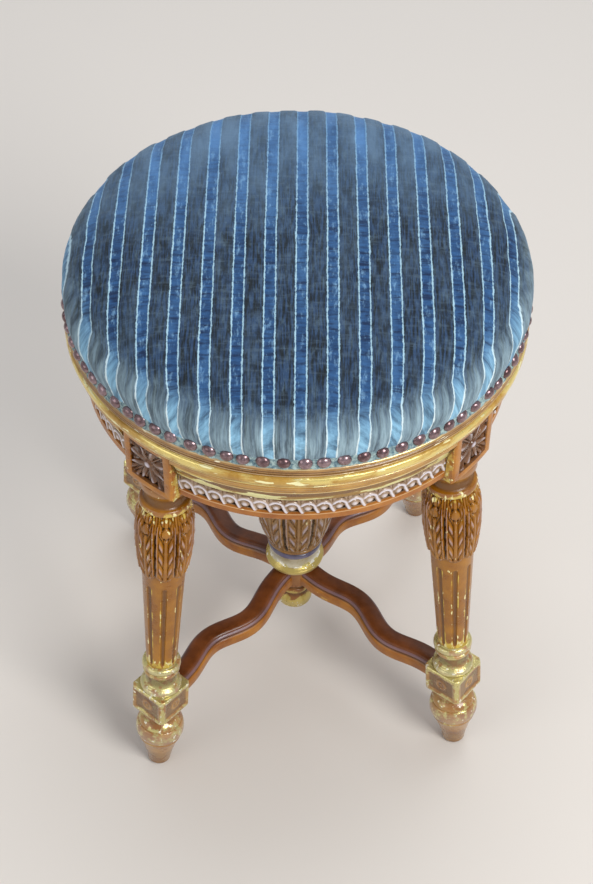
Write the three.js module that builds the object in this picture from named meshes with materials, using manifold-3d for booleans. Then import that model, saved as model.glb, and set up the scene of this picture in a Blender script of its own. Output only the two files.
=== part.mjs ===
import * as THREE from 'three';
import { mergeVertices } from 'three/addons/utils/BufferGeometryUtils.js';
import Module from 'manifold-3d';

// A revolving piano stool of carved and gilded wood with a stuffed velvet seat, in millimetres.
// +Z is up, the floor is at zero, the front faces -Y and the four legs stand on the diagonals.
// The seat is fixed to an iron screw, which turns in an iron nut in the middle of the frame,
// so the seat rises by one thread pitch with every turn.

// Fits between pieces
const jointGap = 0.3;
const threadGap = 0.5;
const swivelGap = 1.2;
const runningGap = 1.5;
const boreGap = 1;
const cutOverrun = 6;

// Facets round each kind of turning
const ringFacets = 60;
const legFacets = 16;
const leafFacets = 24;
const columnFacets = 20;
const screwFacets = 16;
const fastenerFacets = 8;
const boltHeadSides = 6;
const padFacets = 48;

// Frame: apron of four curved rails and four corner blocks under one moulded ring
// The other radii of frame and seat follow the radius of the ring
const frameTop = 440;
const capRadius = 189.4;
const capHeight = 12;
const capWidth = 49.4;
const apronHeight = 51.2;
const apronInset = 2.6;
const apronWall = 38.8;
const filletInset = 13.4;
const filletHeight = 7.7;
const channelDepth = 2.5;
const channelHeight = 15.5;
const flatBandHeight = 13;
const flatBandInset = 9.9;
const beadStep = 1.25;
const blockWidth = 50;
const blockInset = 4.9;
const blockDepth = 44.5;
const blockDrop = 3.5;
const panelBorder = 7;
const panelDepth = 3;

// Legs: axes on the diagonals, leaning out towards the floor
const legCount = 4;
const legInset = 22;
const legLean = 32.5;
const footRadius = 21.9;
const footHeight = 78;
const cubeWidth = 38;
const cubeHeight = 31;
const flareRadius = 18.4;
const flareHeight = 27;
const legRingRadius = 17.3;
const legRingHeight = 9;
const shaftFootRadius = 13.6;
const shaftHeadRadius = 18.6;
const leafRadius = 25.6;
const leafHeight = 79;
const leafSink = 3.2;
const leafCount = 8;
const collarRadius = 21.4;
const collarHeight = 9;
const neckRadius = 17.5;
const neckTopRadius = 21.5;
const neckHeight = 23;
const tenonRadius = 12;
const tenonLength = 30;

// Stretcher: four flat arms, bent like an S, between the cubes of the legs and a turned hub
const armWidth = 21;
const armThickness = 20;
const armDrop = 3;
const armRise = 9;
const armMoulding = 2.5;
const armSwing = 7.5;
const armSteps = 14;
const armTenonWidth = 8;
const armTenonHeight = 12;
const armTenonLength = 7;

// Hub: pendant below the arms, cup above them, and the spigot that carries the column
const hubRadius = 19;
const hubLip = 1.5;
const pendantRadius = 16.8;
const pendantHeight = 43.5;
const cupNeckRadius = 19;
const cupRadius = 26.8;
const cupHeight = 32.5;
const hubSpigotRadius = 8;
const hubSpigotHeight = 28;

// Column that houses the height screw
const columnWall = 6;
const columnFootRadius = 25.5;
const columnBelly = 38.5;
const columnTopRadius = 36;
const columnFloor = 12;

// Height screw and its nut
const travel = 90;
const pitch = 12;
const spareTurnCount = 3;
const screwRadius = 14;
const threadDepth = 2.5;
const bossWall = 5.5;
const bossHeight = 28;
const nutPlateThickness = 6;
const nutRailWidth = 60;
const nutRailThickness = 22;
const ironEdge = 3;
const washerThickness = 4;
const stopShankRadius = 6;
const stopHeadRadius = 10;
const stopHeadHeight = 7;
const stopShankDepth = 25;
const spigotRadius = 10.5;

// Wood screws
const woodScrewRadius = 2.5;
const woodScrewLength = 14;
const woodScrewHeadRadius = 4.5;
const woodScrewHeadHeight = 2.2;

// Seat: moulded rim, board, stuffed pad and the row of domed nails
const rimInset = 0.2;
const rimWidth = 39.2;
const rimWall = 24.2;
const rimLip = 4;
const rimHeight = 13.8;
const rimStep = 4.4;
const rimLedge = 5.2;
const padHeight = 58.5;
const padOverhang = 2.3;
const nailPitch = 15.1;
const nailRadius = 5.5;
const nailDome = 4;
const nailBandWall = 1.7;
const flangeThickness = 6;

// Outlines, as shares of the sizes that they follow
// In each pair the first share runs between two radii and the second runs up the height
const footShares = [[0.38, 0], [0.47, 0.06], [0.68, 0.32], [0.92, 0.52], [1, 0.64], [0.94, 0.76],
  [0.66, 0.86], [0.66, 1]];
const flareShares = [[1, 0.02], [1, 0.14], [0.74, 0.42], [0.73, 0.6], [0.86, 0.94]];
const legRingShares = [[0.9, 0.05], [1, 0.5], [0.88, 1]];
const leafShares = [[0.8, 0], [0.88, 0.12], [0.985, 0.45], [1, 0.8], [0.92, 0.97], [0.84, 1]];
const collarShares = [[0.93, 0.08], [1, 0.5], [0.88, 1]];
const neckShares = [[0, 0.15], [0.3, 0.55], [1, 1]];
const cymaShares = [[0, 0], [0.2, 0.12], [0.36, 0.42], [0.72, 0.68], [1, 1]];
const capShares = [[0.94, 0], [0.97, 0.2], [1, 0.45], [1, 0.8], [0.98, 1]];
const rimShares = [[0.97, 0], [0.985, 0.14], [0.955, 0.22], [1, 0.4], [0.98, 0.99]];
const pendantShares = [[0, 0], [0.38, 0.037], [0.8, 0.136], [0.98, 0.24], [1, 0.33], [0.88, 0.435],
  [0.75, 0.515], [0.74, 0.595], [0.88, 0.675], [0.88, 0.745], [0.76, 0.8], [0.9, 0.895], [1.1, 0.985]];
const cupShares = [[0.35, 0.05], [0.95, 0.15], [1, 0.24], [0.9, 0.31], [0.32, 0.42], [0.2, 0.55],
  [0.3, 0.68], [0.73, 0.76], [0.8, 0.84], [0.78, 0.92], [0.62, 1]];
const columnShares = [[0.56, 0.09], [0.9, 0.19], [1, 0.28], [0.78, 0.4], [0.35, 0.52], [0.04, 0.67],
  [0.48, 0.71], [0.48, 0.745], [0.1, 0.77], [0.1, 0.91]];
const padShares = [[0.978, 0.15], [0.994, 0.24], [1, 0.38], [0.992, 0.52], [0.966, 0.66], [0.925, 0.77],
  [0.86, 0.855], [0.72, 0.925], [0.52, 0.97], [0.27, 0.995], [0, 1]];
const ridgeRootShare = 0.62;
const ridgeCrestShare = 0.38;
const swingPeakShare = 0.6495;
const halvingShare = 0.5;

// Radii that follow the moulded ring
const capBore = capRadius - capWidth;
const apronTopRadius = capRadius - apronInset;
const apronBore = apronTopRadius - apronWall;
const filletRadius = capRadius - filletInset;
const flatBandRadius = capRadius - flatBandInset;
const blockRadius = capRadius - blockInset;
const legRadiusAtBlock = blockRadius - legInset;
const legRadiusAtFloor = legRadiusAtBlock + legLean;
const rimRadius = capRadius - rimInset;
const rimBore = rimRadius - rimWidth;
const boardRadius = rimRadius - rimWall;
const padRadius = rimRadius + padOverhang;
const nailCount = Math.round((2 * Math.PI * rimRadius) / nailPitch);

// Heights, worked out from the frame's top down and from the floor up
const railTop = frameTop - capHeight - jointGap;
const apronBottom = railTop - apronHeight;
const blockBottom = apronBottom - blockDrop;
const splay = Math.atan2(legRadiusAtFloor - legRadiusAtBlock, blockBottom);
const legLength = blockBottom / Math.cos(splay);
const flareBottom = footHeight + cubeHeight;
const legRingBottom = flareBottom + flareHeight;
const shaftBottom = legRingBottom + legRingHeight;
const neckBottom = legLength - neckHeight;
const collarBottom = neckBottom - collarHeight;
const leafBottom = collarBottom - leafHeight;
const armMiddle = (footHeight + cubeHeight / 2) * Math.cos(splay) - armDrop;
const cubeFace = legRadiusAtFloor - armMiddle * Math.tan(splay) - cubeWidth / 2;
const hubMiddle = armMiddle + armRise;
const cupBottom = hubMiddle + armThickness / 2 + hubLip;
const cupTop = cupBottom + cupHeight;
const columnBottom = cupTop + jointGap;
const pendantTop = hubMiddle - armThickness / 2 - hubLip;
const hubSpigotTop = columnBottom + hubSpigotHeight;
const rimBottom = frameTop + swivelGap;
const boardBottom = rimBottom + rimLip + jointGap;
const seatTop = rimBottom + rimHeight;
const padBottom = seatTop + jointGap;
const flangeTop = boardBottom - jointGap;
const flangeBottom = flangeTop - flangeThickness;
const flangeHeadTop = flangeBottom - jointGap;
const nutHeadTop = flangeHeadTop - woodScrewHeadHeight - runningGap;
const nutPlateTop = nutHeadTop - woodScrewHeadHeight - jointGap;
const nutPlateBottom = nutPlateTop - nutPlateThickness;
const nutRailTop = nutPlateBottom - jointGap;
const nutRailBottom = nutRailTop - nutRailThickness;
const nutBottom = nutPlateBottom - bossHeight;
const columnTop = nutRailBottom - jointGap;
const washerTop = nutBottom - travel - jointGap;
const washerBottom = washerTop - washerThickness;
const threadBottom = washerTop + jointGap;
const threadTop = flangeBottom - jointGap;

// Radii that follow the screw
const bossRadius = screwRadius + threadGap + bossWall;
const boreRadius = bossRadius + boreGap;
const washerRadius = boreRadius - 2 * boreGap;
const columnNeck = boreRadius + columnWall;
const nutScrewCircle = bossRadius + ironEdge + woodScrewHeadRadius;
const nutPlateRadius = nutScrewCircle + woodScrewHeadRadius + ironEdge;
const flangeScrewCircle = nutPlateRadius + woodScrewHeadRadius;
const flangeRadius = flangeScrewCircle + woodScrewHeadRadius + ironEdge;

const wasm = await Module();
wasm.setup();

// Turns a closed three.js geometry into a solid that can be cut and joined
function solidOf(geometry) {
  const bare = geometry.clone();
  bare.deleteAttribute('normal');
  bare.deleteAttribute('uv');
  const merged = mergeVertices(bare);
  const index = merged.index.array;
  const kept = [];
  for (let i = 0; i < index.length; i += 3) {
    const [a, b, c] = [index[i], index[i + 1], index[i + 2]];
    if (a !== b && b !== c && c !== a) {
      kept.push(a, b, c);
    }
  }
  const vertProperties = new Float32Array(merged.attributes.position.array);
  const triVerts = new Uint32Array(kept);
  return new wasm.Manifold(new wasm.Mesh({ numProp: 3, vertProperties, triVerts }));
}

function geometryOf(solid) {
  const cut = solid.getMesh();
  const geometry = new THREE.BufferGeometry();
  geometry.setAttribute('position', new THREE.Float32BufferAttribute(cut.vertProperties, 3));
  geometry.setIndex(Array.from(cut.triVerts));
  geometry.computeVertexNormals();
  return geometry;
}

function subtractAll(geometry, cutters) {
  return geometryOf(cutters.reduce((body, cutter) => body.subtract(solidOf(cutter)), solidOf(geometry)));
}

function addAll(geometry, others) {
  return geometryOf(others.reduce((body, other) => body.add(solidOf(other)), solidOf(geometry)));
}

function intersection(geometry, other) {
  return geometryOf(solidOf(geometry).intersect(solidOf(other)));
}

// Outline points between two radii and over a height, from a table of shares
function outline(shares, innerRadius, outerRadius, bottom, height) {
  return shares.map(([across, up]) =>
    new THREE.Vector2(innerRadius + across * (outerRadius - innerRadius), bottom + up * height));
}

// A turned piece: the outline goes from the foot to the top, on the axis or closed on itself
function turned(points, facets) {
  return new THREE.LatheGeometry(points, facets).rotateX(Math.PI / 2);
}

function turnedRing(points, facets) {
  return turned([...points, points[0]], facets);
}

function post(radius, bottom, top, facets) {
  const geometry = new THREE.CylinderGeometry(radius, radius, top - bottom, facets);
  return geometry.rotateX(Math.PI / 2).translate(0, 0, (bottom + top) / 2);
}

function slab(lengthX, lengthY, bottom, top) {
  return new THREE.BoxGeometry(lengthX, lengthY, top - bottom).translate(0, 0, (bottom + top) / 2);
}

// Repeats a geometry round the Z axis, starting at a given angle
function around(geometry, count, startAngle) {
  const copies = [];
  for (let i = 0; i < count; i += 1) {
    copies.push(geometry.clone().rotateZ(startAngle + (2 * Math.PI * i) / count));
  }
  return copies;
}

// Places a geometry made in the leg's frame where the leg stands, on the radius along +X
function onLegAxis(geometry) {
  return geometry.rotateY(-splay).translate(legRadiusAtFloor, 0, 0);
}

function inLegFrame(geometry) {
  return geometry.translate(-legRadiusAtFloor, 0, 0).rotateY(splay);
}

// Tenon of an arm, or with a gap the mortise for it, from one radius to another at a height
function armTenon(from, to, middle, gap) {
  const length = to - from;
  const low = middle - armTenonHeight / 2 - gap;
  const high = middle + armTenonHeight / 2 + gap;
  return slab(length, armTenonWidth + 2 * gap, low, high).translate(from + length / 2, 0, 0);
}

// Carved leaves round the head of the leg, one facing out: between two leaves the wood is sunk
// The sink at an angle is leafSink times the square of (1 - cos(leafCount angle)) / 2
function leavesGeometry() {
  const points = [
    new THREE.Vector2(0, leafBottom),
    ...outline(leafShares, 0, leafRadius, leafBottom, leafHeight),
    new THREE.Vector2(0, collarBottom),
  ];
  const geometry = new THREE.LatheGeometry(points, leafFacets, Math.PI / leafFacets).rotateX(Math.PI / 2);
  const places = geometry.attributes.position;
  for (let i = 0; i < places.count; i += 1) {
    const place = new THREE.Vector2(places.getX(i), places.getY(i));
    const valley = (1 - Math.cos(leafCount * place.angle())) / 2;
    const radius = place.length();
    if (radius > leafSink) {
      place.setLength(radius - leafSink * valley ** 2);
      places.setXY(i, place.x, place.y);
    }
  }
  return geometry;
}

// Leg, in its own frame: Z runs up the leg from the floor and X points out from the stool's axis
// The turned leg carries the square cube that the stretcher meets, and its tenon enters the block
function legGeometry() {
  const points = [
    new THREE.Vector2(0, -cutOverrun),
    new THREE.Vector2(footShares[0][0] * footRadius, -cutOverrun),
    ...outline(footShares, 0, footRadius, 0, footHeight),
    ...outline(flareShares, 0, flareRadius, flareBottom, flareHeight),
    ...outline(legRingShares, 0, legRingRadius, legRingBottom, legRingHeight),
    new THREE.Vector2(shaftFootRadius, shaftBottom),
    new THREE.Vector2(shaftHeadRadius, leafBottom),
    ...outline(collarShares, 0, collarRadius, collarBottom, collarHeight),
    ...outline(neckShares, neckRadius, neckTopRadius, neckBottom, neckHeight),
    new THREE.Vector2(neckTopRadius, legLength + cutOverrun),
    new THREE.Vector2(0, legLength + cutOverrun),
  ];
  const cube = slab(cubeWidth, cubeWidth, footHeight, flareBottom);
  const body = addAll(turned(points, legFacets), [cube, leavesGeometry()]);
  const reach = legRadiusAtFloor;
  const shoulder = blockBottom - jointGap;
  const floorCut = slab(reach, reach, -reach, 0).rotateY(splay);
  const shoulderCut = slab(reach, reach, shoulder, shoulder + reach).rotateY(splay);
  const tenon = post(tenonRadius, neckBottom, legLength + tenonLength, legFacets);
  const mortiseEnd = cubeFace + armTenonLength + jointGap;
  const mortise = inLegFrame(armTenon(cubeFace - cutOverrun, mortiseEnd, armMiddle, jointGap));
  return addAll(subtractAll(body, [floorCut, shoulderCut, mortise]), [tenon]);
}

// Corner block, on the radius along +X: curved outer face with a sunk panel, and the tenon hole
function blockGeometry() {
  const inner = blockRadius - blockDepth;
  const reach = blockDepth + cutOverrun;
  const body = slab(reach, blockWidth, blockBottom, railTop).translate(inner + reach / 2, 0, 0);
  const face = post(blockRadius, 0, frameTop, ringFacets).rotateZ(Math.PI / ringFacets);
  const curved = intersection(body, face);
  const panelWidth = blockWidth - 2 * panelBorder;
  const panelBox = slab(reach, panelWidth, blockBottom + panelBorder, railTop - panelBorder)
    .translate(inner + reach / 2, 0, 0);
  const panelBack = post(blockRadius - panelDepth, 0, frameTop, ringFacets).rotateZ(Math.PI / ringFacets);
  const panelCut = subtractAll(panelBox, [panelBack]);
  const holeTop = legLength + tenonLength + jointGap;
  const hole = onLegAxis(post(tenonRadius + jointGap, neckBottom, holeTop, legFacets));
  return subtractAll(curved, [panelCut, hole]);
}

// Apron rail: one quarter of a turned ring, cut square where it meets the two blocks
// Outside, from the bottom: plain fillet, sunk channel for the carved band, flat band and cyma
function railRing() {
  const channelBottom = apronBottom + filletHeight;
  const flatBottom = channelBottom + channelHeight;
  const cymaBottom = flatBottom + flatBandHeight;
  const channelRadius = filletRadius - channelDepth;
  return turnedRing([
    new THREE.Vector2(apronBore, apronBottom),
    new THREE.Vector2(filletRadius, apronBottom),
    new THREE.Vector2(filletRadius, channelBottom),
    new THREE.Vector2(channelRadius, channelBottom),
    new THREE.Vector2(channelRadius, flatBottom),
    new THREE.Vector2(filletRadius, flatBottom),
    new THREE.Vector2(flatBandRadius, cymaBottom),
    ...outline(cymaShares, flatBandRadius + beadStep, apronTopRadius, cymaBottom, railTop - cymaBottom),
    new THREE.Vector2(apronBore, railTop),
  ], ringFacets);
}

// A triangular wedge from the axis, a quarter turn wide, with its middle along +X
function quarterWedge(reach, bottom, top) {
  const plan = new THREE.Shape([
    new THREE.Vector2(0, 0),
    new THREE.Vector2(reach, -reach),
    new THREE.Vector2(reach, reach),
  ]);
  const depth = top - bottom;
  return new THREE.ExtrudeGeometry(plan, { depth, bevelEnabled: false }).translate(0, 0, bottom);
}

function railGeometry() {
  const gapWidth = blockWidth + 2 * jointGap;
  const blockSpace = slab(capRadius, gapWidth, 0, frameTop).translate(capRadius / 2, 0, 0);
  const wedge = quarterWedge(capRadius + cutOverrun, 0, frameTop);
  const blockSpaces = [-1, 1].map((side) => blockSpace.clone().rotateZ((side * Math.PI) / 4));
  return subtractAll(intersection(railRing(), wedge), blockSpaces);
}

// Moulded ring that caps the rails and blocks and hides their joints
function capRingGeometry() {
  const bottom = railTop + jointGap;
  return turnedRing([
    new THREE.Vector2(capBore, bottom),
    ...outline(capShares, apronBore, capRadius, bottom, capHeight),
    new THREE.Vector2(capBore, frameTop),
  ], ringFacets);
}

// Share of the way along an arm, 0 at the hub and 1 at the cube
function armShare(along) {
  return THREE.MathUtils.clamp((along - hubRadius) / (cubeFace - hubRadius), 0, 1);
}

// Line of one stretcher arm along +X, from the hub to the inner face of the cube
// Its sideways swing is sin(2 pi u) sin(pi u) squared, where u runs from the hub to the cube
class ArmLine extends THREE.Curve {
  getPoint(t, target = new THREE.Vector3()) {
    const start = hubRadius - cutOverrun;
    const along = start + t * (cubeFace + cutOverrun - start);
    const u = armShare(along);
    const swing = (armSwing / swingPeakShare) * Math.sin(2 * Math.PI * u) * Math.sin(Math.PI * u) ** 2;
    return target.set(along, swing, 0);
  }
}

// Stretcher arm: flat, with a moulded step along both top edges and a tenon at each end
// It rises to the hub by armRise (1 - u) cubed, and its shoulders fit the hub and the leg's cube
function armGeometry() {
  const half = armWidth / 2;
  const high = armThickness / 2;
  const step = armMoulding;
  const ledge = half - step;
  const side = [[high, ledge], [step, ledge], [0, half], [step - high, half], [-high, ledge]];
  const mirrored = side.map(([up, across]) => [up, -across]).reverse();
  const corners = [...side, ...mirrored].map(([up, across]) => new THREE.Vector2(-up, across));
  const section = new THREE.Shape(corners);
  const sweep = { steps: armSteps, bevelEnabled: false, extrudePath: new ArmLine() };
  const arm = new THREE.ExtrudeGeometry(section, sweep).translate(0, 0, armMiddle);
  const places = arm.attributes.position;
  for (let i = 0; i < places.count; i += 1) {
    places.setZ(i, places.getZ(i) + armRise * (1 - armShare(places.getX(i))) ** 3);
  }
  const hubSpace = post(hubRadius + jointGap, 0, frameTop, legFacets);
  const cubeSide = cubeWidth + 2 * jointGap;
  const cubeSpace = onLegAxis(slab(cubeSide, cubeSide, footHeight - cubeHeight, flareBottom + cubeHeight));
  const hubTenon = armTenon(hubRadius - armTenonLength, hubRadius + armTenonLength, hubMiddle, 0);
  const cubeTenon = armTenon(cubeFace - armWidth, cubeFace + armTenonLength, armMiddle, 0);
  return addAll(subtractAll(arm, [hubSpace, cubeSpace]), [hubTenon, cubeTenon]);
}

// Turned hub with four mortises for the arms
function hubGeometry() {
  const body = turned([
    ...outline(pendantShares, 0, pendantRadius, pendantTop - pendantHeight, pendantHeight),
    new THREE.Vector2(hubRadius, pendantTop),
    new THREE.Vector2(hubRadius, cupBottom),
    ...outline(cupShares, cupNeckRadius, cupRadius, cupBottom, cupHeight),
    new THREE.Vector2(hubSpigotRadius, cupTop),
    new THREE.Vector2(hubSpigotRadius, hubSpigotTop - jointGap),
    new THREE.Vector2(0, hubSpigotTop - jointGap),
  ], legFacets);
  const mortiseStart = hubRadius - armTenonLength - jointGap;
  const mortise = armTenon(mortiseStart, hubRadius + cutOverrun, hubMiddle, jointGap);
  return subtractAll(body, around(mortise, legCount, Math.PI / legCount));
}

// Vase-shaped column: bored from the top for the height screw, and from below for the hub's spigot
function columnGeometry() {
  const height = columnTop - columnBottom;
  return turned([
    new THREE.Vector2(0, hubSpigotTop),
    new THREE.Vector2(hubSpigotRadius + jointGap, hubSpigotTop),
    new THREE.Vector2(hubSpigotRadius + jointGap, columnBottom),
    new THREE.Vector2(columnFootRadius, columnBottom),
    ...outline(columnShares, columnNeck, columnBelly, columnBottom, height),
    new THREE.Vector2(columnTopRadius, columnTop - columnWall),
    new THREE.Vector2(columnTopRadius, columnTop),
    new THREE.Vector2(boreRadius, columnTop),
    new THREE.Vector2(boreRadius, hubSpigotTop + columnFloor),
    new THREE.Vector2(0, hubSpigotTop + columnFloor),
  ], columnFacets);
}

// Wood screw with a low domed head: Z runs from the middle of the head's top into the wood
function woodScrewGeometry() {
  return turned([
    new THREE.Vector2(0, -woodScrewLength),
    new THREE.Vector2(woodScrewRadius, woodScrewRadius - woodScrewLength),
    new THREE.Vector2(woodScrewRadius, 0),
    new THREE.Vector2(woodScrewHeadRadius, 0),
    new THREE.Vector2(woodScrewHeadRadius - woodScrewHeadHeight / 2, woodScrewHeadHeight),
    new THREE.Vector2(0, woodScrewHeadHeight),
  ], fastenerFacets);
}

function pilotHoles(circle, bottom, top, startAngle) {
  const hole = post(woodScrewRadius + jointGap, bottom, top, fastenerFacets).translate(circle, 0, 0);
  return around(hole, legCount, startAngle);
}

// Cross rail along X that carries the nut, halved with its twin and fitted into the apron ring
function nutRailGeometry(notchAbove) {
  const span = slab(2 * apronBore, nutRailWidth, nutRailBottom, nutRailTop);
  const fitted = intersection(span, post(apronBore - jointGap, 0, frameTop, ringFacets));
  const notchSize = nutRailWidth + 2 * jointGap;
  const halving = nutRailBottom + halvingShare * nutRailThickness;
  const notch = notchAbove
    ? slab(notchSize, notchSize, halving - jointGap / 2, nutRailTop + cutOverrun)
    : slab(notchSize, notchSize, nutRailBottom - cutOverrun, halving + jointGap / 2);
  const bossHole = post(bossRadius + jointGap, 0, frameTop, columnFacets);
  const tip = nutPlateTop - woodScrewLength - jointGap;
  return subtractAll(fitted, [notch, bossHole, ...pilotHoles(nutScrewCircle, tip, frameTop, 0)]);
}

// Right-handed screw thread: every column of vertices repeats the ridge once a pitch
// Column i stands at angle a and is raised by pitch times a over a full turn
function threadGeometry(rootRadius, crestRadius, widening, bottom, top) {
  const turns = Math.ceil((top - bottom) / pitch) + spareTurnCount;
  const rootHalf = (ridgeRootShare * pitch) / 2 + widening;
  const crestHalf = (ridgeCrestShare * pitch) / 2 + widening;
  const ridge = [
    [rootRadius, -rootHalf],
    [crestRadius, -crestHalf],
    [crestRadius, crestHalf],
    [rootRadius, rootHalf],
  ];
  const start = Math.floor(bottom / pitch - 1) * pitch;
  const rows = turns * ridge.length;
  const positions = [];
  for (let i = 0; i < screwFacets; i += 1) {
    const angle = (2 * Math.PI * i) / screwFacets;
    for (let j = 0; j < rows; j += 1) {
      const [radius, up] = ridge[j % ridge.length];
      const lift = start + (Math.floor(j / ridge.length) + i / screwFacets) * pitch;
      positions.push(radius * Math.cos(angle), radius * Math.sin(angle), lift + up);
    }
  }
  positions.push(0, 0, start - pitch, 0, 0, start + turns * pitch);
  const foot = screwFacets * rows;
  const head = foot + 1;
  const at = (i, j) => (i < screwFacets ? i * rows + j : j + ridge.length);
  const index = [];
  for (let i = 0; i < screwFacets; i += 1) {
    const last = (i === screwFacets - 1 ? rows - ridge.length : rows) - 1;
    for (let j = 0; j < last; j += 1) {
      index.push(at(i, j), at(i + 1, j), at(i + 1, j + 1), at(i, j), at(i + 1, j + 1), at(i, j + 1));
    }
    index.push(foot, at(i + 1, 0), at(i, 0), head, at(i, last), at(i + 1, last));
  }
  for (let j = 0; j < ridge.length; j += 1) {
    index.push(foot, j, j + 1);
    index.push(head, foot - j - 1, foot - j - 2);
  }
  const geometry = new THREE.BufferGeometry();
  geometry.setAttribute('position', new THREE.Float32BufferAttribute(positions, 3));
  geometry.setIndex(index);
  return intersection(geometry, post(crestRadius + cutOverrun, bottom, top, screwFacets));
}

// Iron height screw: riveted through the seat's flange at the top, tapped for the stop bolt below
function heightScrewGeometry() {
  const thread = threadGeometry(screwRadius - threadDepth, screwRadius, 0, threadBottom, threadTop);
  const spigot = post(spigotRadius, threadTop - pitch, flangeTop, screwFacets);
  const tapped = post(stopShankRadius + jointGap, threadBottom - cutOverrun,
    threadBottom + stopShankDepth + jointGap, screwFacets);
  return subtractAll(addAll(thread, [spigot]), [tapped]);
}

// Iron nut: round plate screwed down on the cross rails, with a threaded boss through them
function nutGeometry() {
  const blank = turned([
    new THREE.Vector2(0, nutBottom),
    new THREE.Vector2(bossRadius, nutBottom),
    new THREE.Vector2(bossRadius, nutPlateBottom),
    new THREE.Vector2(nutPlateRadius, nutPlateBottom),
    new THREE.Vector2(nutPlateRadius, nutPlateTop),
    new THREE.Vector2(0, nutPlateTop),
  ], columnFacets);
  const rootRadius = screwRadius - threadDepth + threadGap;
  const crestRadius = screwRadius + threadGap;
  const thread = threadGeometry(rootRadius, crestRadius, threadGap / 2, nutBottom - cutOverrun, frameTop);
  return subtractAll(blank, [thread, ...pilotHoles(nutScrewCircle, nutBottom, frameTop, 0)]);
}

// Loose washer on the stop bolt: it meets the nut when the seat is at its highest
function washerGeometry() {
  return turnedRing([
    new THREE.Vector2(stopShankRadius + jointGap, 0),
    new THREE.Vector2(washerRadius, 0),
    new THREE.Vector2(washerRadius, washerThickness),
    new THREE.Vector2(stopShankRadius + jointGap, washerThickness),
  ], screwFacets);
}

// Hexagon bolt in the end of the screw, which carries the washer
function stopBoltGeometry() {
  const head = post(stopHeadRadius, 0, stopHeadHeight, boltHeadSides);
  const shankTop = stopHeadHeight + 2 * jointGap + washerThickness + stopShankDepth;
  return addAll(head, [post(stopShankRadius, stopHeadHeight / 2, shankTop, screwFacets)]);
}

// Iron flange under the seat board
function flangeGeometry() {
  const plate = post(flangeRadius, flangeBottom, flangeTop, columnFacets);
  const hole = post(spigotRadius + jointGap, 0, seatTop, screwFacets);
  return subtractAll(plate, [hole, ...pilotHoles(flangeScrewCircle, 0, seatTop, Math.PI / 4)]);
}

function boardGeometry() {
  const board = post(boardRadius, boardBottom, seatTop, ringFacets);
  const tip = flangeHeadTop + woodScrewLength + jointGap;
  return subtractAll(board, pilotHoles(flangeScrewCircle, 0, tip, Math.PI / 4));
}

// Moulded rim of the seat: a lip carries the board, and the step above the moulding takes the nails
function rimGeometry() {
  const bandRadius = rimRadius - rimLedge;
  const shoulder = seatTop - rimStep;
  return turnedRing([
    new THREE.Vector2(rimBore, rimBottom),
    ...outline(rimShares, rimBore, rimRadius, rimBottom, shoulder - rimBottom),
    new THREE.Vector2(bandRadius, shoulder),
    new THREE.Vector2(bandRadius, seatTop),
    new THREE.Vector2(boardRadius + jointGap, seatTop),
    new THREE.Vector2(boardRadius + jointGap, rimBottom + rimLip),
    new THREE.Vector2(rimBore, rimBottom + rimLip),
  ], ringFacets);
}

// Stuffed pad: straight behind the nails, drawn in over them, full at the side and crowned on top
function padGeometry() {
  const foot = rimRadius - rimLedge - jointGap;
  const nailTop = 2 * nailRadius - rimStep + 2 * jointGap;
  return turned([
    new THREE.Vector2(0, 0),
    new THREE.Vector2(foot, 0),
    new THREE.Vector2(foot, nailTop),
    ...outline(padShares, 0, padRadius, 0, padHeight),
  ], padFacets);
}

// Row of domed nails on one thin band: between two nails the band keeps its plain radius
function nailBandGeometry() {
  const inner = rimRadius - rimLedge + jointGap;
  const plain = inner + nailBandWall;
  const steps = 2 * nailCount;
  const width = 2 * nailRadius;
  const section = [[inner, 0], [plain, 0], [plain, nailRadius], [plain, width], [inner, width]];
  const positions = [];
  for (let i = 0; i < steps; i += 1) {
    const angle = (2 * Math.PI * i) / steps;
    section.forEach(([radius, up]) => {
      const dome = up === nailRadius && i % 2 === 0 ? nailDome : 0;
      positions.push((radius + dome) * Math.cos(angle), (radius + dome) * Math.sin(angle), up);
    });
  }
  const index = [];
  for (let i = 0; i < steps; i += 1) {
    const here = i * section.length;
    const next = ((i + 1) % steps) * section.length;
    for (let j = 0; j < section.length; j += 1) {
      const up = (j + 1) % section.length;
      index.push(here + j, next + j, next + up, here + j, next + up, here + up);
    }
  }
  const geometry = new THREE.BufferGeometry();
  geometry.setAttribute('position', new THREE.Float32BufferAttribute(positions, 3));
  geometry.setIndex(index);
  geometry.computeVertexNormals();
  return geometry;
}

// Finishes
const giltWood = new THREE.MeshStandardMaterial({ color: 0xc79a45, roughness: 0.42, metalness: 0.35 });
const wornGilt = new THREE.MeshStandardMaterial({ color: 0x9a6428, roughness: 0.45, metalness: 0.25 });
const darkStretcher = new THREE.MeshStandardMaterial({ color: 0x6b3a1c, roughness: 0.4, metalness: 0.1 });
const plainWood = new THREE.MeshStandardMaterial({ color: 0xa98a5c, roughness: 0.75, metalness: 0 });
const darkIron = new THREE.MeshStandardMaterial({ color: 0x4a4642, roughness: 0.5, metalness: 0.8 });
const bronzeNails = new THREE.MeshStandardMaterial({ color: 0x5c3a38, roughness: 0.3, metalness: 0.7 });
const velvet = new THREE.MeshStandardMaterial({ color: 0x3f5668, roughness: 0.85, metalness: 0 });

const stool = new THREE.Group();

function addPart(parent, name, geometry, material, height = 0) {
  const part = new THREE.Mesh(geometryOf(solidOf(geometry)), material);
  part.name = name;
  part.position.z = height;
  parent.add(part);
  return part;
}

// A group turned about the stool's axis
function turnedGroup(angle) {
  const group = new THREE.Group();
  group.rotation.z = angle;
  stool.add(group);
  return group;
}

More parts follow.
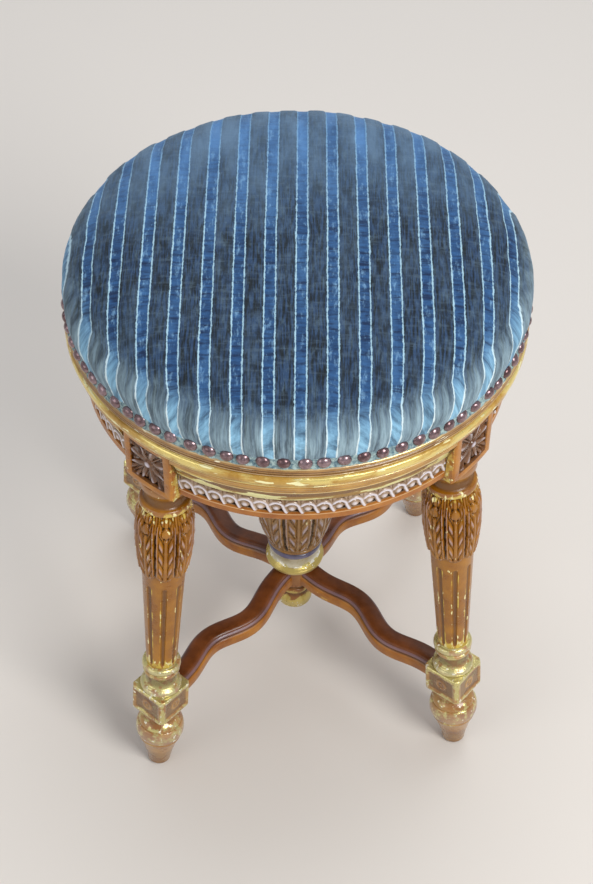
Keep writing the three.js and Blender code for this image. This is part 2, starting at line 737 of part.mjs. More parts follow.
// Four corners, from the front left round to the right: each leg with its block and stretcher arm
const leg = legGeometry();
const block = blockGeometry();
const arm = armGeometry();
['front_left', 'front_right', 'rear_right', 'rear_left'].forEach((corner, i) => {
  const group = turnedGroup(-3 * Math.PI / 4 + (i * Math.PI) / 2);
  const piece = addPart(group, `leg_${corner}`, leg, wornGilt);
  piece.position.x = legRadiusAtFloor;
  piece.rotation.y = -splay;
  addPart(group, `corner_block_${corner}`, block, wornGilt);
  addPart(group, `stretcher_arm_${corner}`, arm, darkStretcher);
});

// Four rails between the blocks
const rail = railGeometry();
['front', 'right', 'rear', 'left'].forEach((side, i) => {
  addPart(turnedGroup(-Math.PI / 2 + (i * Math.PI) / 2), `apron_rail_${side}`, rail, giltWood);
});
addPart(stool, 'cap_ring', capRingGeometry(), giltWood);

// Hub and column
addPart(stool, 'stretcher_hub', hubGeometry(), giltWood);
addPart(stool, 'screw_column', columnGeometry(), wornGilt);

// Nut on its cross rails
addPart(stool, 'nut_rail_lower', nutRailGeometry(true), plainWood);
addPart(turnedGroup(Math.PI / 2), 'nut_rail_upper', nutRailGeometry(false), plainWood);
addPart(stool, 'screw_nut', nutGeometry(), darkIron);
for (let i = 0; i < legCount; i += 1) {
  const group = turnedGroup((i * Math.PI) / 2);
  const piece = addPart(group, `nut_screw_${i + 1}`, woodScrewGeometry(), darkIron, nutPlateTop + jointGap);
  piece.position.x = nutScrewCircle;
}

// Turning seat on its screw
addPart(stool, 'stop_washer', washerGeometry(), darkIron, washerBottom);
addPart(stool, 'stop_bolt', stopBoltGeometry(), darkIron, washerBottom - jointGap - stopHeadHeight);
addPart(stool, 'height_screw', heightScrewGeometry(), darkIron);
addPart(stool, 'seat_flange', flangeGeometry(), darkIron);
for (let i = 0; i < legCount; i += 1) {
  const group = turnedGroup(Math.PI / 4 + (i * Math.PI) / 2);
  const piece = addPart(group, `flange_screw_${i + 1}`, woodScrewGeometry(), darkIron, flangeHeadTop);
  piece.position.x = flangeScrewCircle;
  piece.rotation.x = Math.PI;
}
addPart(stool, 'seat_rim', rimGeometry(), giltWood);
addPart(stool, 'seat_board', boardGeometry(), plainWood);
addPart(stool, 'nail_band', nailBandGeometry(), bronzeNails, seatTop - rimStep + jointGap);
addPart(stool, 'seat_pad', padGeometry(), velvet, padBottom);

export default stool;
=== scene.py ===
"""Looks of a revolving piano stool in Blender 4.5, in metres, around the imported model.

The stool is put together from the floor up: the four legs, the stretcher with its hub, the column,
the blocks and rails of the apron, the moulded ring, the iron screw gear, and the turning seat.
"""

import math

import bpy
import numpy as np
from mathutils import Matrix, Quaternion, Vector


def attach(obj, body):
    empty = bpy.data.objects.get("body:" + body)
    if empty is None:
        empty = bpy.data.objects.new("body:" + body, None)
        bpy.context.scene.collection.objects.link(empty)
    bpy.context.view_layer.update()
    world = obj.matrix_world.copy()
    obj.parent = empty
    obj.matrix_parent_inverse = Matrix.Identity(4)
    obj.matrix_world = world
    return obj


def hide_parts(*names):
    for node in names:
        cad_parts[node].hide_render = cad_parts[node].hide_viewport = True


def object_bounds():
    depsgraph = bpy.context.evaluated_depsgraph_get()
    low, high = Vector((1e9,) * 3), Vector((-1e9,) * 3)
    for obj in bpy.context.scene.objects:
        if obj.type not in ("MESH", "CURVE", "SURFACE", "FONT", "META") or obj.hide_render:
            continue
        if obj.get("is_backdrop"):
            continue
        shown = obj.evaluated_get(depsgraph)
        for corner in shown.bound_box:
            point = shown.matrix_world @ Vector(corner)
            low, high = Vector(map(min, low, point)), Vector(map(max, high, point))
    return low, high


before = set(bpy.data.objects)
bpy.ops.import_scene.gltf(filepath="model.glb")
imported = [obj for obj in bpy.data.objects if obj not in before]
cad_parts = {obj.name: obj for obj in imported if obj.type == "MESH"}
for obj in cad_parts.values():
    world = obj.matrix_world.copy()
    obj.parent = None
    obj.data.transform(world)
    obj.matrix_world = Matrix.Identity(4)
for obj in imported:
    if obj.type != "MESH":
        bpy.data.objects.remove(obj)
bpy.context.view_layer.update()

# Legs
# Each leg is turned and carved from one length of beech: toupie foot, square cube with sunk panels,
# a tapering shaft with eight narrow flutes, and a capital of acanthus leaves under a turned collar.
# It was gilded over brown clay, and the gilding is worn and stained with age.

MM = 0.001
LEG_AT_FLOOR, LEG_AT_BLOCK, BLOCK_BOTTOM = 195.0, 162.5, 373.0
SPLAY = math.atan2(LEG_AT_FLOOR - LEG_AT_BLOCK, BLOCK_BOTTOM)
LEG_TOP_GAP = 0.3
LEG_COLUMNS, LEG_LEAVES = 224, 8
CUBE_LOW, CUBE_HIGH, CUBE_WIDTH = 78.0, 109.0, 38.0
SHAFT_LOW, LEAF_LOW, LEAF_HIGH = 145.0, 263.4, 342.4
SHAFT_FOOT_RADIUS, SHAFT_TOP_RADIUS = 13.6, 18.6
FLUTE_DEPTH, FLUTE_SHARE = 1.7, 0.135
CORNERS = {"front_left": 0, "front_right": 1, "rear_right": 2, "rear_left": 3}


def skin(name, points, wrap_rows, wrap_columns, ends=(), carving=None, gilt=None, sharp=35):
    """One closed mesh over a grid of points, given as rows by columns by xyz in millimetres.
    Face i, j joins the four points i..i+1, j..j+1, and a wrapped direction joins its last to its first.
    ends gives the middle points of the fans that close the first and the last row.
    carving is a number per point, from 0 in a recess to 1 on a high place. gilt is another, and says
    how much of the leaf is left there. Edges of more than sharp degrees stay sharp."""
    rows, columns = points.shape[:2]
    i = np.arange(rows if wrap_rows else rows - 1)[:, None]
    j = np.arange(columns if wrap_columns else columns - 1)[None, :]
    at = lambda a, b: (a % rows) * columns + b % columns
    quads = np.stack([at(i, j), at(i, j + 1), at(i + 1, j + 1), at(i + 1, j)], -1).reshape(-1, 4)
    corners = points.reshape(-1, 3)
    fans = np.zeros((0, 3), int)
    if len(ends):
        if wrap_columns:
            loops = [np.arange(columns)[::-1], (rows - 1) * columns + np.arange(columns)]
        else:
            loops = [np.arange(rows) * columns, np.arange(rows)[::-1] * columns + columns - 1]
        middle = len(corners) + np.arange(2)
        fans = np.concatenate([
            np.stack([np.full(len(loop), middle[k]), loop, np.roll(loop, -1)], -1)
            for k, loop in enumerate(loops)])
        corners = np.concatenate([corners, np.array(ends, float)])
    a, b, c, d = (corners[quads[:, k]] for k in range(4))
    volume = np.einsum("ij,ij->", a, np.cross(b, c)) + np.einsum("ij,ij->", a, np.cross(c, d))
    if len(fans):
        a, b, c = (corners[fans[:, k]] for k in range(3))
        volume += np.einsum("ij,ij->", a, np.cross(b, c))
    if volume < 0:
        quads, fans = quads[:, ::-1], fans[:, ::-1]
    mesh = bpy.data.meshes.new(name)
    mesh.vertices.add(len(corners))
    mesh.vertices.foreach_set("co", (corners * MM).astype(np.float32).ravel())
    loops = np.concatenate([quads.ravel(), fans.ravel()])
    starts = np.concatenate([np.arange(len(quads)) * 4, len(quads) * 4 + np.arange(len(fans)) * 3])
    mesh.loops.add(len(loops))
    mesh.loops.foreach_set("vertex_index", loops.astype(np.int32))
    mesh.polygons.add(len(starts))
    mesh.polygons.foreach_set("loop_start", starts.astype(np.int32))
    mesh.update(calc_edges=True)
    mesh.validate()
    for label, values in (("carving", carving), ("gilt", gilt)):
        if values is not None:
            rest = np.full(len(corners) - rows * columns, values.mean())
            values = np.concatenate([values.ravel(), rest]).astype(np.float32)
            mesh.attributes.new(label, "FLOAT", "POINT").data.foreach_set("value", values)
    mesh.shade_smooth()
    mesh.set_sharp_from_angle(angle=math.radians(sharp))
    piece = bpy.data.objects.new(name, mesh)
    bpy.context.scene.collection.objects.link(piece)
    return piece


def centres(piece):
    """The middle of every face, in millimetres."""
    middle = np.zeros(len(piece.data.polygons) * 3, np.float32)
    piece.data.polygons.foreach_get("center", middle)
    return middle.reshape(-1, 3) / MM


def about(points, turn):
    """The same points, turned about the stool's axis."""
    x, y, z = points[..., 0], points[..., 1], points[..., 2]
    return np.stack([x * math.cos(turn) - y * math.sin(turn), x * math.sin(turn) + y * math.cos(turn), z], -1)


def turned_profile(start, parts):
    """Heights and radii from the foot up. A part is (height, radius at its top, swell, power, steps), with
    r = foot + (top - foot) t + swell (4 t (1 - t)) ** power for t from 0 to 1: power 1 is a soft swell,
    power 0.5 is a round bead, or a cove where the swell is negative."""
    heights, radii = [np.array([start[0]])], [np.array([start[1]])]
    for height, top, swell, power, steps in parts:
        t = (1 - np.cos(np.pi * np.arange(1, steps + 1) / steps)) / 2
        foot = radii[-1][-1]
        heights.append(heights[-1][-1] + height * t)
        radii.append(foot + (top - foot) * t + swell * (4 * t * (1 - t)) ** power)
    return np.concatenate(heights), np.concatenate(radii)


def smooth(value, low, high):
    """Eases from 0 at low to 1 at high: 3 t squared - 2 t cubed."""
    t = np.clip((value - low) / (high - low), 0, 1)
    return t * t * (3 - 2 * t)


def acanthus(across, up, half):
    """Height of a carved acanthus leaf, from 0 on the ground to 1, and a little more on its curled tip.
    across is in millimetres from the midrib, up runs from 0 at the stem to 1 at the top, and half is half
    the room of a leaf. Five lobes rise towards each edge, cut apart by valleys |sin(pi (5.2 up - 1.5 side))|,
    a strand runs along each edge, a groove lies on both sides of the midrib, and the tip is an oval knob
    turned down over the leaf."""
    side = np.abs(across) / half
    closing = np.sqrt(np.clip(1 - (np.clip(up - 0.80, 0, 1) / 0.20) ** 2, 0, 1))
    valley = 1 - np.abs(np.sin(np.pi * (5.2 * up - 1.5 * side))) ** 0.55
    outline = (0.93 + 0.05 * smooth(up, 0.0, 0.25)) * closing * (1 - 0.10 * valley)
    body = smooth(outline - side, 0.0, 0.10)
    midrib = smooth(1.5 - np.abs(across), 0.0, 0.5)
    groove = np.exp(-((np.abs(across) - 2.1) / 0.55) ** 2)
    room = smooth(side, 0.18, 0.28) * (1 - smooth(side, 0.60, 0.68))
    lobe, crest = valley * room, (1 - valley) ** 3 * room
    strand = np.exp(-((side - 0.80) / 0.07) ** 2) - 0.9 * np.exp(-((side - 0.65) / 0.04) ** 2)
    lit = 0.58 + 0.14 * (1 - side ** 2) + 0.04 * midrib + (0.20 + 0.14 * up) * strand + 0.22 * crest
    height = body * (lit - 0.62 * lobe - 0.36 * groove)
    tip = np.sqrt(np.clip(1 - (across / 3.7) ** 2 - ((up - 0.80) / 0.065) ** 2, 0, 1))
    under = np.exp(-((up - 0.715) / 0.02) ** 2 - (across / 3.6) ** 2)
    hollow = np.exp(-((np.hypot(across / 3.7, (up - 0.80) / 0.065) - 1.2) / 0.18) ** 2)
    knob = (0.50 + 0.26 * tip) * (tip > 0)
    return np.clip(np.maximum(height - 0.5 * hollow, knob) - 0.45 * under, 0, 1)


def leaf_band(angle, up, radius, count):
    """Relief of a row of acanthus leaves round a turned piece, with the tops of a second row between them."""
    pitch = 2 * np.pi / count
    across = ((angle / pitch + 0.5) % 1 - 0.5) * pitch * radius
    between = (angle / pitch % 1 - 0.5) * pitch * radius
    half = pitch / 2 * radius
    second = 0.52 + 0.2 * np.cos(2 * np.pi * between / 2.6) * smooth(np.abs(between), 0.5, 1.2)
    second = second * smooth(up, 0.72, 0.80) * smooth(0.55 - np.abs(between) / half, 0.0, 0.1)
    return np.maximum(acanthus(across, up, half), second)


def leg_surface():
    """Points of one leg in its own frame. A round row has r(z), the cube's rows have the square outline
    r = half width / max(|cos|, |sin|), flutes are sunk as half circles, and leaves stand out."""
    heights, radii = turned_profile((0.0, 8.2), [
        (4.7, 10.3, 0.7, 1, 5), (30.0, 18.2, -0.5, 1, 12), (3.4, 19.6, 0.5, 0.5, 6), (1.6, 19.3, 0, 1, 2),
        (15.6, 18.9, 2.8, 0.5, 16), (7.7, 14.3, 2.0, 1, 8), (1.4, 14.3, 0, 1, 2), (6.2, 14.3, 1.6, 0.5, 8),
        (3.2, 14.0, 0, 1, 2)])
    heights = heights * (CUBE_LOW / heights[-1])
    flare_heights, flare_radii = turned_profile((CUBE_HIGH, 17.4), [
        (5.6, 16.4, 1.5, 0.5, 8), (1.0, 15.6, 0, 1, 2), (13.4, 14.2, -2.2, 0.5, 14), (1.2, 14.8, 0, 1, 2),
        (4.6, 14.6, 1.6, 0.5, 8), (1.0, 14.2, 0, 1, 2), (7.6, 14.2, 3.0, 0.5, 12), (1.6, 13.4, 0, 1, 2)])
    shaft_heights = np.concatenate([
        np.linspace(SHAFT_LOW, SHAFT_LOW + 16, 16)[:-1], np.linspace(SHAFT_LOW + 16, LEAF_LOW - 24, 14)[:-1],
        np.linspace(LEAF_LOW - 24, LEAF_LOW - 0.5, 20)])
    shaft_share = (shaft_heights - SHAFT_LOW) / (LEAF_LOW - SHAFT_LOW)
    shaft_radii = SHAFT_FOOT_RADIUS + (SHAFT_TOP_RADIUS - SHAFT_FOOT_RADIUS) * shaft_share
    leaf_heights = np.linspace(LEAF_LOW, LEAF_HIGH - 0.4, 104)
    leaf_share = (leaf_heights - LEAF_LOW) / (LEAF_HIGH - LEAF_LOW)
    leaf_radii = 20.6 + 5.0 * smooth(leaf_share, -0.20, 0.55) - 4.2 * smooth(leaf_share, 0.78, 1.06)
    neck_heights, neck_radii = turned_profile((LEAF_HIGH, 19.6), [
        (1.0, 19.9, 0, 1, 2), (6.6, 19.2, 2.1, 0.5, 12), (1.4, 17.6, 0, 1, 2), (14.6, 21.3, -1.6, 1, 14),
        (9.8, 21.4, 0, 1, 2)])
    cube_heights = np.concatenate([
        [CUBE_LOW, CUBE_LOW, CUBE_LOW + 0.5], np.linspace(CUBE_LOW + 1.2, CUBE_HIGH - 1.2, 34),
        [CUBE_HIGH - 0.5, CUBE_HIGH, CUBE_HIGH]])
    angle = 2 * np.pi * np.arange(LEG_COLUMNS) / LEG_COLUMNS
    square = 1 / np.maximum(np.abs(np.cos(angle)), np.abs(np.sin(angle)))
    from_end = np.minimum(cube_heights - CUBE_LOW, CUBE_HIGH - cube_heights)
    half = 18.2 + 0.8 * np.sqrt(np.clip(from_end / 1.2, 0, 1))
    half[0], half[-1] = 11.0, 14.0
    corner = 23.6 + 1.2 * np.sqrt(np.clip(from_end / 1.6, 0, 1))
    cube = np.minimum(half[:, None] * square[None, :], corner[:, None])
    face = np.abs(np.tan((angle + np.pi / 4) % (np.pi / 2) - np.pi / 4))[None, :] * CUBE_WIDTH / 2
    edge = np.minimum(CUBE_WIDTH / 2 - face, from_end[:, None])
    sunk = smooth(edge, 4.0, 6.0)
    petals = np.hypot(face, (cube_heights - (CUBE_LOW + CUBE_HIGH) / 2)[:, None])
    flower = np.exp(-(petals / 6.5) ** 4) * (0.55 + 0.45 * np.cos(petals * 1.3))
    cube = cube - sunk * (1.3 - 0.8 * flower)
    cube[0], cube[-1] = 14.0, 17.4
    turn = lambda r: np.repeat(np.asarray(r)[:, None], LEG_COLUMNS, 1)
    pitch = 2 * np.pi / LEG_LEAVES
    from_middle = np.abs((angle / pitch + 0.5) % 1 - 0.5)[None, :]
    across = from_middle * pitch * shaft_radii[:, None]
    run = smooth(shaft_heights, SHAFT_LOW + 2, SHAFT_LOW + 6)
    run = np.clip(run - smooth(shaft_heights, LEAF_LOW - 13, LEAF_LOW - 10), 0, 1)
    width = FLUTE_SHARE * shaft_radii[:, None] * (0.3 + 0.7 * np.sqrt(run[:, None]))
    hollow = np.sqrt(np.clip(1 - (across / width) ** 2, 0, 1)) * (run[:, None] > 0.01)
    shaft = shaft_radii[:, None] - FLUTE_DEPTH * hollow * smooth(run, 0, 0.5)[:, None]
    lip = np.exp(-((across - width - 0.5) / 0.8) ** 2) * (run[:, None] > 0.01)
    relief = leaf_band(angle[None, :], leaf_share[:, None], leaf_radii[:, None], LEG_LEAVES)
    depth = (2.4 + 2.0 * smooth(leaf_share, 0.05, 0.6))[:, None]
    risen = smooth(leaf_share[:, None] - 0.07 * (2 * from_middle) ** 2, 0.0, 0.06)
    leaves = SHAFT_TOP_RADIUS + (leaf_radii[:, None] - depth * (1 - relief) - SHAFT_TOP_RADIUS) * risen
    relief = 0.6 + (relief - 0.6) * risen - 0.5 * np.exp(-((risen - 0.15) / 0.12) ** 2)
    points_r = np.concatenate([turn(radii), cube, turn(flare_radii), shaft, leaves, turn(neck_radii)])
    points_z = np.concatenate([
        heights, cube_heights, flare_heights, shaft_heights, leaf_heights, neck_heights])
    # Carving values: beads and leaves rise to a painted highlight, and coves, flutes and the sunk panels sink
    # to painted shade, with dirt.
    carving = np.concatenate([
        np.clip(0.62 + (turn(radii) - 17) / 16, 0.40, 0.95), 0.66 - 0.34 * sunk + 0.3 * sunk * flower,
        np.clip(0.56 + (turn(flare_radii) - 14.6) / 6, 0.30, 0.95), 0.62 - 0.34 * hollow,
        np.clip(0.10 + 0.90 * relief, 0, 1), np.clip(0.50 + (turn(neck_radii) - 19.2) / 5, 0.28, 0.8)])
    tongues = (1 - smooth(shaft_heights, SHAFT_LOW + 4, SHAFT_LOW + 14))[:, None] * (across > width)
    crown = smooth(leaf_share, 0.90, 0.98)[:, None] * smooth(relief, 0.35, 0.6)
    knots = [0, 10, 20, 36, 46, 54, 62, 70, 78]
    gilt = np.concatenate([
        turn(np.interp(heights, knots, [0.25, 0.1, 0.1, 0.35, 0.55, 0.62, 0.60, 0.40, 0.60])),
        0.60 - 0.16 * sunk + 0.30 * np.exp(-((edge - 1.0) / 1.4) ** 2),
        turn(np.interp(flare_heights, [109, 116, 122, 132, 145], [0.75, 0.74, 0.62, 0.62, 0.75])),
        np.clip(0.02 + 0.55 * lip + 0.85 * tongues, 0, 0.95) + 0 * across,
        np.clip(0.12 + 0.46 * crown + 0.16 * relief, 0, 1),
        turn(np.interp(neck_heights, [342, 345, 349, 352, 372], [0.7, 0.8, 0.45, 0.1, 0.05]))])
    around = np.stack([
        points_r * np.cos(angle), points_r * np.sin(angle), np.repeat(points_z[:, None], LEG_COLUMNS, 1)], -1)
    return around, carving, gilt


def linear(value):
    """Turns an sRGB hex colour to linear red, green, blue and alpha."""
    channels = [int(value[k:k + 2], 16) / 255 for k in (0, 2, 4)]
    return [c / 12.92 if c <= 0.04045 else ((c + 0.055) / 1.055) ** 2.4 for c in channels] + [1.0]


def add_node(tree, kind, inputs=(), **settings):
    """Adds a node of a kind. settings are its own values, and inputs gives a socket a number or a link."""
    made = tree.nodes.new(kind)
    for name, value in settings.items():
        setattr(made, name, value)
    for socket, value in dict(inputs).items():
        if isinstance(value, bpy.types.NodeSocket):
            tree.links.new(value, made.inputs[socket])
        else:
            made.inputs[socket].default_value = value
    return made


def blank_material(name):
    """A material with an empty node tree, and that tree."""
    material = bpy.data.materials.new(name)
    material.use_nodes = True
    material.node_tree.nodes.clear()
    return material, material.node_tree


def worn_gilding(name, ground, stain, leaf, flake, recess, left=0.0, flakes=0.66, patch=60.0,
                 along=(1, 1, 1), painted_highlight="9A8790", painted_highlight_share=0.5, burnish=0.6, chip_size=240.0, gloss=0.0):
    """Burnished gold leaf on brown clay over gessoed beech, rubbed through, and toned with brown varnish.
    It gives the eye a warm satin brown with patches of soft metal and pale chips where the gesso shows.
    The carving is darkened, for dirt and for painted shade, and the high places get a painted highlight.
    Patches are 1000 / patch mm across, chips 1000 / chip_size mm and brush marks 1.1 mm, drawn out as along
    says. left and flakes say how easily leaf stays and how hard it chips, the highlight share how strong the
    painted highlight is, burnish how metallic the leaf is, and gloss how thick the varnish is."""
    material, tree = blank_material(name)
    place = add_node(tree, "ShaderNodeTexCoord").outputs["Object"]
    drawn = add_node(tree, "ShaderNodeMapping", {"Vector": place, "Scale": along}).outputs[0]
    carved = add_node(tree, "ShaderNodeAttribute", attribute_name="carving").outputs["Fac"]
    gilt = add_node(tree, "ShaderNodeAttribute", attribute_name="gilt").outputs["Fac"]
    patches = add_node(tree, "ShaderNodeTexNoise", {
        "Vector": drawn, "Scale": patch, "Detail": 7.0, "Roughness": 0.66})
    cloud = add_node(tree, "ShaderNodeTexNoise", {
        "Vector": place, "Scale": 48.0, "Detail": 6.0, "Roughness": 0.62})
    chip = add_node(tree, "ShaderNodeTexNoise", {
        "Vector": drawn, "Scale": chip_size, "Detail": 2.5, "Roughness": 0.5})
    brush = add_node(tree, "ShaderNodeTexNoise", {
        "Vector": drawn, "Scale": 900.0, "Detail": 3.0, "Roughness": 0.6})
    varied = add_node(tree, "ShaderNodeMapRange", {
        "Value": cloud.outputs[0], "From Min": 0.36, "From Max": 0.64})
    toned = add_node(tree, "ShaderNodeMix", {
        "Factor": varied.outputs[0], "A": linear(ground), "B": linear(stain)}, data_type="RGBA")
    kept = add_node(tree, "ShaderNodeMath", {
        0: gilt, 1: 0.5, 2: patches.outputs[0]}, operation="MULTIPLY_ADD")
    metal = add_node(tree, "ShaderNodeMapRange", {
        "Value": kept.outputs[0], "From Min": 0.79 - left, "From Max": 0.86 - left})
    gold = add_node(tree, "ShaderNodeMix", {
        "Factor": metal.outputs[0], "A": toned.outputs["Result"], "B": linear(leaf)}, data_type="RGBA")
    loose = add_node(tree, "ShaderNodeMath", {0: gilt, 1: 0.22, 2: chip.outputs[0]}, operation="MULTIPLY_ADD")
    chipped = add_node(tree, "ShaderNodeMapRange", {
        "Value": loose.outputs[0], "From Min": flakes + 0.05, "From Max": flakes + 0.075})
    raised = add_node(tree, "ShaderNodeMapRange", {"Value": carved, "From Min": 0.40, "From Max": 0.55})
    chips = add_node(tree, "ShaderNodeMath", {
        0: chipped.outputs[0], 1: raised.outputs[0]}, operation="MULTIPLY")
    pale = add_node(tree, "ShaderNodeMix", {
        "Factor": chips.outputs[0], "A": gold.outputs["Result"], "B": linear(flake)}, data_type="RGBA")
    # Painted highlight: the highest carving is lightened towards the highlight colour, as far as its share.
    high = add_node(tree, "ShaderNodeMapRange", {
        "Value": carved, "From Min": 0.78, "From Max": 1.0, "To Max": painted_highlight_share})
    highlighted = add_node(tree, "ShaderNodeMix", {
        "Factor": high.outputs[0], "A": pale.outputs["Result"], "B": linear(painted_highlight)}, data_type="RGBA")
    # Painted shade, with dirt: the lower the carving, the nearer the colour comes to the recess colour.
    low = add_node(tree, "ShaderNodeMapRange", {"Value": carved, "From Min": 0.50, "From Max": 0.16})
    colour = add_node(tree, "ShaderNodeMix", {
        "Factor": low.outputs[0], "A": highlighted.outputs["Result"], "B": linear(recess)}, data_type="RGBA")
    shine = add_node(tree, "ShaderNodeMapRange", {"Value": metal.outputs[0], "To Max": burnish})
    rough = add_node(tree, "ShaderNodeMapRange", {
        "Value": cloud.outputs[0], "From Min": 0.3, "From Max": 0.7,
        "To Min": 0.26 - 0.1 * gloss, "To Max": 0.48 - 0.14 * gloss})
    rubbed = add_node(tree, "ShaderNodeBump", {
        "Height": brush.outputs[0], "Strength": 0.2, "Distance": 0.0004})
    edges = add_node(tree, "ShaderNodeBump", {
        "Height": chips.outputs[0], "Strength": 0.4, "Distance": 0.0004, "Normal": rubbed.outputs[0]})
    dents = add_node(tree, "ShaderNodeBump", {
        "Height": patches.outputs[0], "Strength": 0.5, "Distance": 0.0012, "Normal": edges.outputs[0]})
    shader = add_node(tree, "ShaderNodeBsdfPrincipled", {
        "Base Color": colour.outputs["Result"], "Metallic": shine.outputs[0], "Roughness": rough.outputs[0],
        "Specular IOR Level": 0.4, "Normal": dents.outputs[0],
        "Coat Weight": 0.15 + 0.5 * gloss, "Coat Roughness": 0.18 - 0.06 * gloss})
    add_node(tree, "ShaderNodeOutputMaterial", {"Surface": shader.outputs[0]})
    return material


leg_gilding = worn_gilding(
    "gilded_beech_of_the_legs", ground="8A5406", stain="A87014", leaf="D8BC54", flake="F0E6A8",
    recess="4A2C12", flakes=0.68, patch=95.0, along=(1, 1, 0.4), painted_highlight="C0AEB8", painted_highlight_share=0.75, gloss=0.3)
foot_gilding = worn_gilding(
    "gilded_beech_of_feet_and_rings", ground="8E5C2A", stain="B48A50", leaf="D0C482", flake="F2EED4",
    recess="3A2208", flakes=0.74, patch=110.0, painted_highlight="DCD8D4", painted_highlight_share=0.2, burnish=0.7, gloss=0.8)
leg_points, leg_carving, leg_gilt = leg_surface()
for corner, i in CORNERS.items():
    x, y, z = leg_points[..., 0], leg_points[..., 1], leg_points[..., 2]
    out = LEG_AT_FLOOR + x * math.cos(SPLAY) - z * math.sin(SPLAY)
    high = np.clip(z * math.cos(SPLAY) + x * math.sin(SPLAY), 0.0, BLOCK_BOTTOM - LEG_TOP_GAP)
    placed = about(np.stack([out, y, high], -1), -3 * math.pi / 4 + i * math.pi / 2)
    ends = [placed[0].mean(0), placed[-1].mean(0)]
    leg = skin(f"carved_leg_{corner}", placed, False, True, ends, leg_carving, leg_gilt)
    leg.data.materials.append(leg_gilding)
    leg.data.materials.append(foot_gilding)
    below = centres(leg)[:, 2] < SHAFT_LOW - 0.6
    leg.data.polygons.foreach_set("material_index", below.astype(np.int32))
    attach(leg, "base")
    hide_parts(f"leg_{corner}")

# Stretcher arms
# Four flat arms of the same beech, sawn to an S and stained dark, with a small moulding worked along
# both top edges. Each rises a little to the turned hub in the middle, and is tenoned into it and into
# the cube of a leg.

ARM_MIDDLE, ARM_RISE = 90.1, 9.0
LINE_GREATEST = 0.6495
ARM_SWING = 7.5 / LINE_GREATEST
ARM_TENON, ARM_TENON_LEVEL = 4.0, 90.12
HUB_RADIUS = 19.0
CUBE_FACE = LEG_AT_FLOOR - ARM_TENON_LEVEL * math.tan(SPLAY) - CUBE_WIDTH / 2


def arm_surface():
    """Points of one arm along +X: the moulded section is carried along y = swing sin(2 pi u) sin(pi u)
    squared, square to the line, for u from the hub to the cube, and lifted by rise (1 - u) cubed. The two
    sines together reach 0.6495 at most, so the line leaves the middle by 7.5 mm."""
    right = np.array([
        [0.0, 9.9], [3.5, 9.8], [5.9, 9.5], [6.8, 9.0], [7.4, 8.5], [7.6, 7.6], [7.7, 7.0], [8.2, 6.7],
        [8.9, 6.2], [9.4, 5.4], [9.3, 4.4], [8.7, 3.5], [8.6, 2.9], [9.0, 2.3], [9.8, 1.7], [10.3, 0.9],
        [10.5, -0.2], [10.5, -7.4], [10.2, -8.6], [9.2, -9.5], [7.8, -9.9], [4.0, -9.95], [0.0, -10.0]])
    section = np.concatenate([right, right[-2:0:-1] * [-1, 1]])
    along = np.linspace(HUB_RADIUS - ARM_TENON, CUBE_FACE + 0.6, 90)
    u = np.clip((along - HUB_RADIUS) / (CUBE_FACE - HUB_RADIUS), 0, 1)
    line = ARM_SWING * np.sin(2 * np.pi * u) * np.sin(np.pi * u) ** 2
    slope = np.gradient(line, along)
    length = np.hypot(1, slope)
    x = along[:, None] - (slope / length)[:, None] * section[:, 0]
    y = line[:, None] + (1 / length)[:, None] * section[:, 0]
    z = ARM_MIDDLE + section[:, 1] + ARM_RISE * (1 - u[:, None]) ** 3
    height = section[:, 1]
    # Painted shade and highlight: the groove's low carving value darkens it, and the moulding's high one
    # paints a highlight along it.
    carving = np.where((height > 2.0) & (height < 4.6), 0.3, 0.6)
    carving = np.where((height > 4.6) & (height < 7.2), 0.92, carving)
    return np.stack([x, y, z], -1), np.repeat(carving[None, :], len(along), 0), height


dark_top = worn_gilding(
    "stained_beech_of_the_stretcher", ground="54280A", stain="763E14", leaf="8A5A28", flake="B48A44",
    recess="200E04", flakes=0.74, along=(0.6, 0.6, 1), painted_highlight="8A7682", painted_highlight_share=0.75, burnish=0.15)
ochre_side = worn_gilding(
    "gilded_edge_of_the_stretcher", ground="8A4E12", stain="AE7020", leaf="CDA04C", flake="E4C884",
    recess="2C1406", left=0.16, flakes=0.70, along=(0.6, 0.6, 1), burnish=0.35)
arm_points, arm_carving, arm_level = arm_surface()
low_faces = (arm_level + np.roll(arm_level, -1)) / 2 < 3.0
low_faces = np.repeat(low_faces[None, :], len(arm_points) - 1, 0).ravel()
for corner, i in CORNERS.items():
    placed = about(arm_points, -3 * math.pi / 4 + i * math.pi / 2)
    ends = [placed[0].mean(0), placed[-1].mean(0)]
    arm = skin(f"moulded_arm_{corner}", placed, False, True, ends, arm_carving, sharp=30)
    arm.data.materials.append(dark_top)
    arm.data.materials.append(ochre_side)
    sides = np.concatenate([low_faces, np.zeros(len(arm.data.polygons) - len(low_faces), bool)])
    arm.data.polygons.foreach_set("material_index", sides.astype(np.int32))
    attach(arm, "base")
    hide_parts(f"stretcher_arm_{corner}")

# Hub of the stretcher
# A turned hub carries the four arms: a round pendant hangs below them, and a saucer with a gilt rim,
# a hollow and a round band stand above them. The gilding is thicker here, where no foot rubs it.


